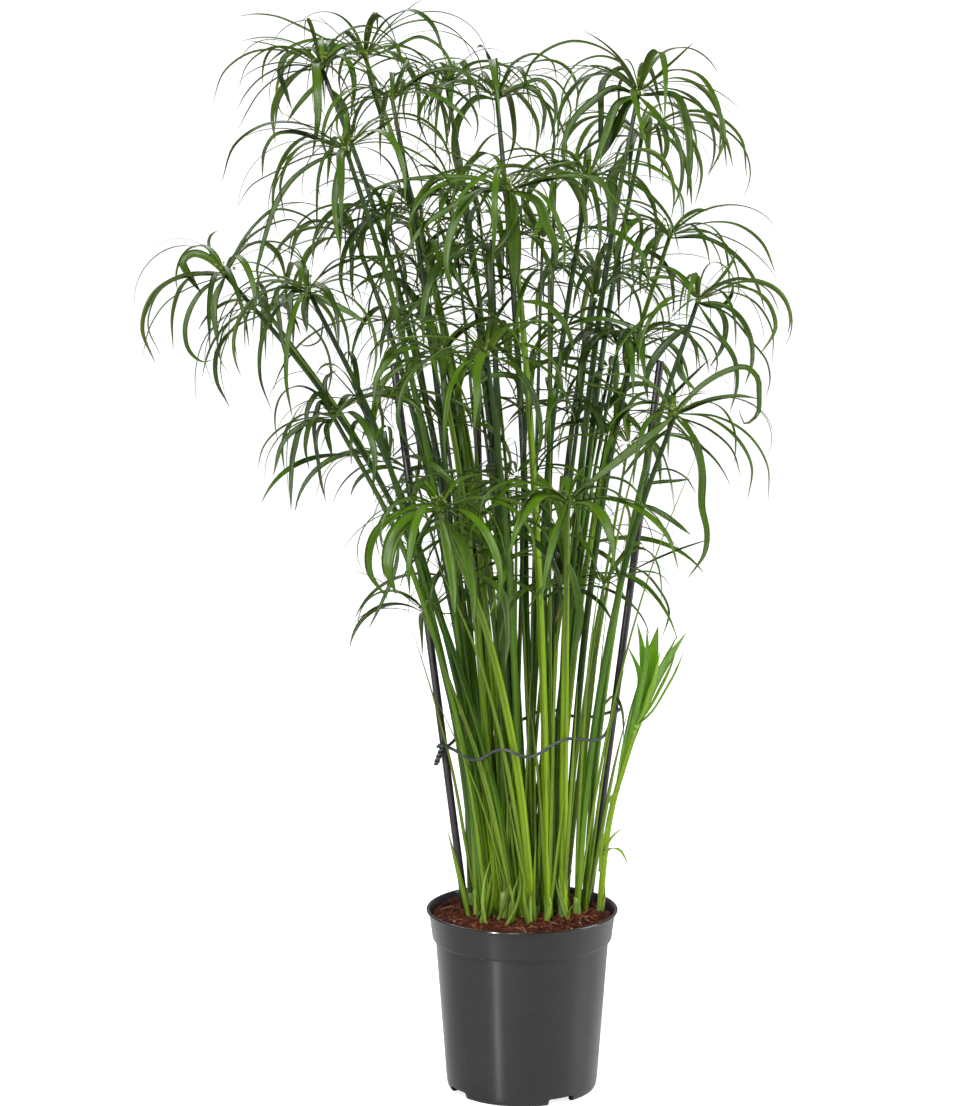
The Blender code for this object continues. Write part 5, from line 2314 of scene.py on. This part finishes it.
    young: tuple[Seen, ...] = (
        Seen(-0.042, 0.016, 0.9, ((619, 782), (627, 748), (636, 715), (645, 685), (651, 660), (658, 627))),
        Seen(-0.044, 0.0095, 0.8, ((620, 780), (631, 742), (643, 710), (655, 683), (669, 658), (686, 633))),
        Seen(-0.045, 0.005, 0.5, ((620, 782), (630, 745), (642, 712), (652, 690), (665, 660), (678, 634))),
        Seen(-0.040, 0.0075, 0.4, ((620, 780), (629, 740), (637, 705), (643, 672), (642, 647), (637, 622))),
        Seen(-0.041, 0.0055, 0.3, ((621, 775), (630, 738), (638, 700), (639, 672), (631, 653), (627, 645))),
        Seen(-0.043, 0.006, 0.7, ((622, 770), (632, 730), (641, 690), (647, 655), (647, 628))),
    )
    facing: tuple[float, float, float] = (0.0, -0.78, 0.62)
    drift: float = 0.022
    stations: int = 26
    knots: tuple[float, ...] = (0, 0.18, 0.45, 0.8, 1)
    levels: tuple[float, ...] = (0.22, 0.84, 1.0, 0.66, 0.06)
    folded: tuple[float, ...] = (0.34, 0.6, 0.92, 0.9, 0.06)
    marks: int = 90
    search: float = 0.14
    depth_cost: float = 0.12
    bridge: float = 0.03
    wood: np.ndarray = field(init=False)

    def __post_init__(self) -> None:
        """Marks the stems with the places that a bract may grow from."""
        super().__post_init__()
        self.wood = np.concatenate([self.marked(stem.points) for stem in self.stems])

    def marked(self, points: np.ndarray) -> np.ndarray:
        """Evenly spaced places on a stem's line."""
        knots = lengths(points)
        return through(knots / knots[-1], points, np.linspace(0, 1, self.marks))

    def opened(self) -> list[tuple[Seen, ...]]:
        """Every group of bracts that have opened, in the order in which they are drawn.

        Returns:
            The groups.
        """
        return [
            self.upper_left, self.upper_middle, self.upper_right, self.far_left,
            self.left, self.low_left, self.low_right, self.far_right,
            self.right_edge, self.right_middle, self.front,
        ]

    def build(self) -> None:
        """Sweeps each bract along its course."""
        skin = OUTER.material(self.effects)
        strands = [self.strand(seen, self.levels) for group in self.opened() for seen in group]
        hand_over(sweep("outer_bracts", blade_section(), strands, [skin]), Slot.BRACT)
        fresh = FOLDED.material(self.effects)
        strands = [self.strand(seen, self.folded) for seen in self.young]
        hand_over(sweep("young_bracts", blade_section(), strands, [fresh]), Slot.BRACT)

    def strand(self, seen: Seen, levels: Sequence[float]) -> Strand:
        """Lays one bract into the depth that it hangs at.

        Args:
            seen: The bract.
            levels: Its width from its root to its tip.

        Returns:
            The strand.
        """
        root, depth = self.root(seen)
        drift = self.random.uniform(-self.drift, self.drift)
        depths = depth + drift * np.linspace(0, 1, len(seen.pixels))
        points = np.array([self.studio.place(pixel, y) for pixel, y in zip(seen.pixels, depths)])
        points[0] = root
        course = Course(points, self.stations)
        across = np.cross(course.across(self.facing), directions(course.points))
        outline = np.interp(course.shares, self.knots, levels)
        return Strand(course.points, seen.width * outline, across, seen.tone)

    def root(self, seen: Seen) -> tuple[np.ndarray, float]:
        """Finds the stem that a bract grows from: the one nearest to its first place, near its depth.

        Args:
            seen: The bract.

        Returns:
            The place on the stem, and the depth of the bract there.
        """
        depths = seen.depth + np.linspace(-self.search, self.search, self.marks)
        ray = np.array([self.studio.place(seen.pixels[0], y) for y in depths])
        gaps = np.linalg.norm(ray[:, None] - self.wood[None], axis=2)
        best = int((gaps.min(axis=1) + self.depth_cost * abs(depths - seen.depth)).argmin())
        gap = gaps[best].min()
        if gap < self.bridge:
            return self.wood[gaps[best].argmin()], float(depths[best])
        LOG.info("a bract at %s starts %.0f mm from a stem", seen.pixels[0], 1000 * gap)
        return ray[best], float(depths[best])


@dataclass(frozen=True)
class Shoot:
    """A short leaf or spike: the points that it runs through, and its greatest width."""

    points: Sequence[Sequence[float]]
    width: float
    skin: int = 0
    tone: float = 0.7


@dataclass(kw_only=True)
class SideCulms(Grown):
    """Slender culms between the thick ones, each with a small crown of its own."""

    stems: Sequence[Line]
    seed: int = 31
    count: int = 38
    height: tuple[float, float] = (0.48, 0.90)
    gap: float = 0.05
    nearest: int = 4
    radius: tuple[float, float] = (0.0016, 0.0025)
    knob_share: float = 0.6
    foot: float = 0.166
    stations: int = 24
    between: tuple[float, float] = (0.35, 0.65)
    drift: float = 0.012
    drift_bend: float = 1.5
    places: tuple[float, ...] = (0, 0.2, 1)
    levels: tuple[float, ...] = (1.15, 1.0, 0.72)
    tones: tuple[float, ...] = (0.1, 0.35, 0.6, 0.8, 0.95)
    growths: tuple[Growth, ...] = (
        Growth((6, 9), (0.08, 0.16), (0.0036, 0.0086), (5, 62), (-115, -35), 18),
        Growth((1, 2), (0.06, 0.12), (0.0030, 0.0060), (25, 65), (-20, 50), 14),
        Growth((2, 4), (0.07, 0.15), (0.0011, 0.0022), (10, 66), (-130, -25), 14),
    )

    def build(self) -> None:
        """Runs each slender culm between two thick ones and crowns it."""
        random = self.random
        skin = SIDE.material(self.effects)
        culms, bracts, knobs = [], [], []
        for index in range(self.count):
            culm = self.culm(*self.neighbours(index))
            culms.append(culm)
            tip, lean = Vector(culm.points[-1]), Vector(directions(culm.points)[-1])
            knobs.append(knob(tip, lean, culm.widths[-1] * self.knob_share, skin))
            for growth in self.growths:
                count = random.randint(*growth.count)
                for place in range(count):
                    turn = growth.heading(place, count, random)
                    bracts.append(growth.bract(tip, turn, random.uniform(*growth.length), random))
        section = round_section(18, ribs=6, depth=0.02, corners=0.05)
        hand_over(sweep("side_culms", section, culms, [StemSkin().material(self.effects)]), Slot.STEM)
        blades = sweep("side_bracts", blade_section(), bracts, [skin])
        hand_over(join("side_bracts", [blades, *knobs]), Slot.BRACT)

    def neighbours(self, index: int) -> tuple[Line, Line, float]:
        """Chooses two stems that stand close together, and how high a culm between them ends.

        Args:
            index: Which slender culm it is.

        Returns:
            The two stems and the height.
        """
        low, high = self.height
        height = low + (high - low) * (index + self.random.random()) / self.count
        tall = [stem for stem in self.stems if stem.points[-1, 2] > height + self.gap]
        first = self.random.choice(tall)
        tall.sort(key=lambda stem: math.dist(stem.at(height)[:2], first.at(height)[:2]))
        return first, self.random.choice(tall[1 : 1 + self.nearest]), height

    def culm(self, first: Line, second: Line, height: float) -> Strand:
        """Runs a line between two stems.

        Args:
            first: One stem.
            second: The other.
            height: How high the line ends.

        Returns:
            The slender culm.
        """
        random = self.random
        heights = np.linspace(self.foot, height, self.stations)
        share = random.uniform(*self.between)
        line = first.at(heights) * share + second.at(heights) * (1 - share)
        line[:, 2] = heights
        spread = np.linspace(0, 1, self.stations)
        drift = np.array([*(random.uniform(-self.drift, self.drift) for _ in range(2)), 0.0])
        line = line + drift * (spread**self.drift_bend)[:, None]
        radius = random.uniform(*self.radius)
        widths = 2 * radius * np.interp(spread, self.places, self.levels)
        across = square_to(np.tile([1.0, 0.0, 0.0], (self.stations, 1)), directions(line))
        return Strand(line, widths, across, random.choice(self.tones))


@dataclass(kw_only=True)
class FootShoots(Grown):
    """The short spikes between the stems' feet, and the small leaves on the young shoot."""

    stems: Sequence[Line]
    seed: int = 23
    named: tuple[Shoot, ...] = (
        Shoot(
            ((-0.052, -0.012, 0.170), (-0.058, -0.013, 0.200),
             (-0.0655, -0.015, 0.232), (-0.0735, -0.016, 0.263)),
            0.0064,
        ),
        Shoot(
            ((0.015, 0.004, 0.170), (0.0146, 0.002, 0.184),
             (0.0150, -0.001, 0.198), (0.0152, -0.003, 0.206)),
            0.0036,
        ),
        Shoot(
            ((-0.034, 0.020, 0.170), (-0.031, 0.012, 0.196),
             (-0.026, 0.004, 0.218), (-0.022, 0.000, 0.236)),
            0.0050, 1,
        ),
        Shoot(
            ((0.0800, -0.030, 0.243), (0.0855, -0.031, 0.2495),
             (0.0934, -0.032, 0.2499), (0.1043, -0.033, 0.2346)),
            0.0036,
        ),
        Shoot(
            ((0.0850, -0.030, 0.296), (0.0884, -0.031, 0.3036),
             (0.0930, -0.032, 0.3085), (0.0972, -0.033, 0.3120)),
            0.0034,
        ),
        Shoot(
            ((0.0800, -0.029, 0.247), (0.0874, -0.031, 0.2610),
             (0.0935, -0.032, 0.2675), (0.0996, -0.033, 0.2722)),
            0.0034,
        ),
        Shoot(
            ((0.0760, -0.028, 0.226), (0.0785, -0.034, 0.2569),
             (0.0830, -0.037, 0.2750), (0.0888, -0.038, 0.2903)),
            0.0030,
        ),
        Shoot(
            ((0.0804, -0.001, 0.388), (0.0905, -0.015, 0.4000),
             (0.0965, -0.029, 0.3900), (0.0985, -0.035, 0.3600)),
            0.0040, tone=0.0,
        ),
    )
    soil: float = 0.170
    stations: int = 16
    facing: tuple[float, float, float] = (1.0, 0.2, 0.0)
    places: tuple[float, ...] = (0, 0.3, 0.65, 1)
    levels: tuple[float, ...] = (0.85, 1, 0.66, 0.12)
    spikes: int = 46
    reach: float = 0.052
    height: tuple[float, float] = (0.016, 0.072)
    lean: float = 0.3
    bow: float = 0.12
    spike_shares: tuple[float, ...] = (0, 0.35, 0.7, 1)
    spike_width: tuple[float, float] = (0.0028, 0.0062)
    dry_share: float = 0.3
    leaves: int = 64
    leaf_height: tuple[float, float] = (0.05, 0.52)
    leaf_width: tuple[float, float] = (0.0024, 0.0056)
    leaf_slant: float = 0.022
    leaf_marks: int = 5
    leaf_turn: tuple[float, float] = (-math.pi / 2, 1.1)
    leaf_gap: float = 0.0012
    leaf_away: tuple[float, float] = (0.004, 0.016)

    def build(self) -> None:
        """Sweeps every shoot and puts them on the object as one piece."""
        green = SHOOT.material(self.effects)
        dry = Papery().material(self.effects)
        strands = [self.strand(shoot) for shoot in self.named]
        strands += [self.strand(self.spike()) for _ in range(self.spikes)]
        last = len(self.stems) - 1
        for _ in range(self.leaves):
            strands.append(self.strand(self.leaf(self.stems[self.random.randrange(last)])))
        hand_over(sweep("foot_shoots", blade_section(), strands, [green, dry]), Slot.STEM)

    def spike(self) -> Shoot:
        """Grows one short spike out of the soil.

        Returns:
            The spike.
        """
        random = self.random
        turn = random.uniform(0, math.tau)
        out = self.reach * math.sqrt(random.random())
        foot = np.array((out * math.cos(turn), out * math.sin(turn), self.soil))
        high = random.uniform(*self.height)
        lean = np.array([*(random.uniform(-self.lean, self.lean) for _ in range(2)), 1.0])
        bow = np.array([*(random.uniform(-self.bow, self.bow) for _ in range(2)), 0.0])
        points = [
            foot + high * (lean * share + bow * math.sin(math.pi * share)) for share in self.spike_shares
        ]
        width = random.uniform(*self.spike_width)
        return Shoot(points, width, int(random.random() < self.dry_share), random.random())

    def leaf(self, stem: Line) -> Shoot:
        """Grows a long narrow leaf up beside a stem, so that its tip leans away.

        Args:
            stem: The stem's middle line.

        Returns:
            The leaf.
        """
        random = self.random
        heights = np.linspace(self.soil, self.soil + random.uniform(*self.leaf_height), self.leaf_marks)
        line = stem.at(heights)
        turn = random.gauss(*self.leaf_turn)
        away = np.array((math.cos(turn), math.sin(turn), 0.0))
        shares = np.linspace(0, 1, self.leaf_marks)
        rest = float(stem.radii[0]) + self.leaf_gap
        offsets = rest * shares**0.4 + random.uniform(*self.leaf_away) * shares**2
        line[:, 2] = heights
        line[:, 0] += random.uniform(-self.leaf_slant, self.leaf_slant) * shares
        width = random.uniform(*self.leaf_width)
        return Shoot(line + away * offsets[:, None], width, tone=random.random())

    def strand(self, shoot: Shoot) -> Strand:
        """Rounds one shoot's line and points its tip.

        Args:
            shoot: The shoot.

        Returns:
            The strand.
        """
        course = Course(np.array(shoot.points), self.stations)
        outline = np.interp(course.shares, self.places, self.levels)
        across = course.across(self.facing)
        return Strand(course.points, shoot.width * outline, across, shoot.tone, shoot.skin)


def main() -> None:
    """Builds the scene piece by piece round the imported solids."""
    logging.basicConfig(level=logging.INFO, format="%(message)s")
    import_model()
    bpy.ops.object.select_all(action="DESELECT")
    effects = Effects()
    studio = Studio()
    studio.build()
    NurseryPot(effects=effects).build()
    SoilBed(effects=effects).build()
    Stakes(effects=effects).build()
    WireTie(effects=effects).build()
    stems = Stems(effects=effects).build()
    BractCrowns(effects=effects, stems=stems).build()
    SeenBracts(effects=effects, studio=studio, stems=stems).build()
    SideCulms(effects=effects, stems=stems).build()
    FootShoots(effects=effects, stems=stems).build()
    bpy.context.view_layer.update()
    LOG.info("all pieces are in place")


if __name__ == "__main__":
    main()
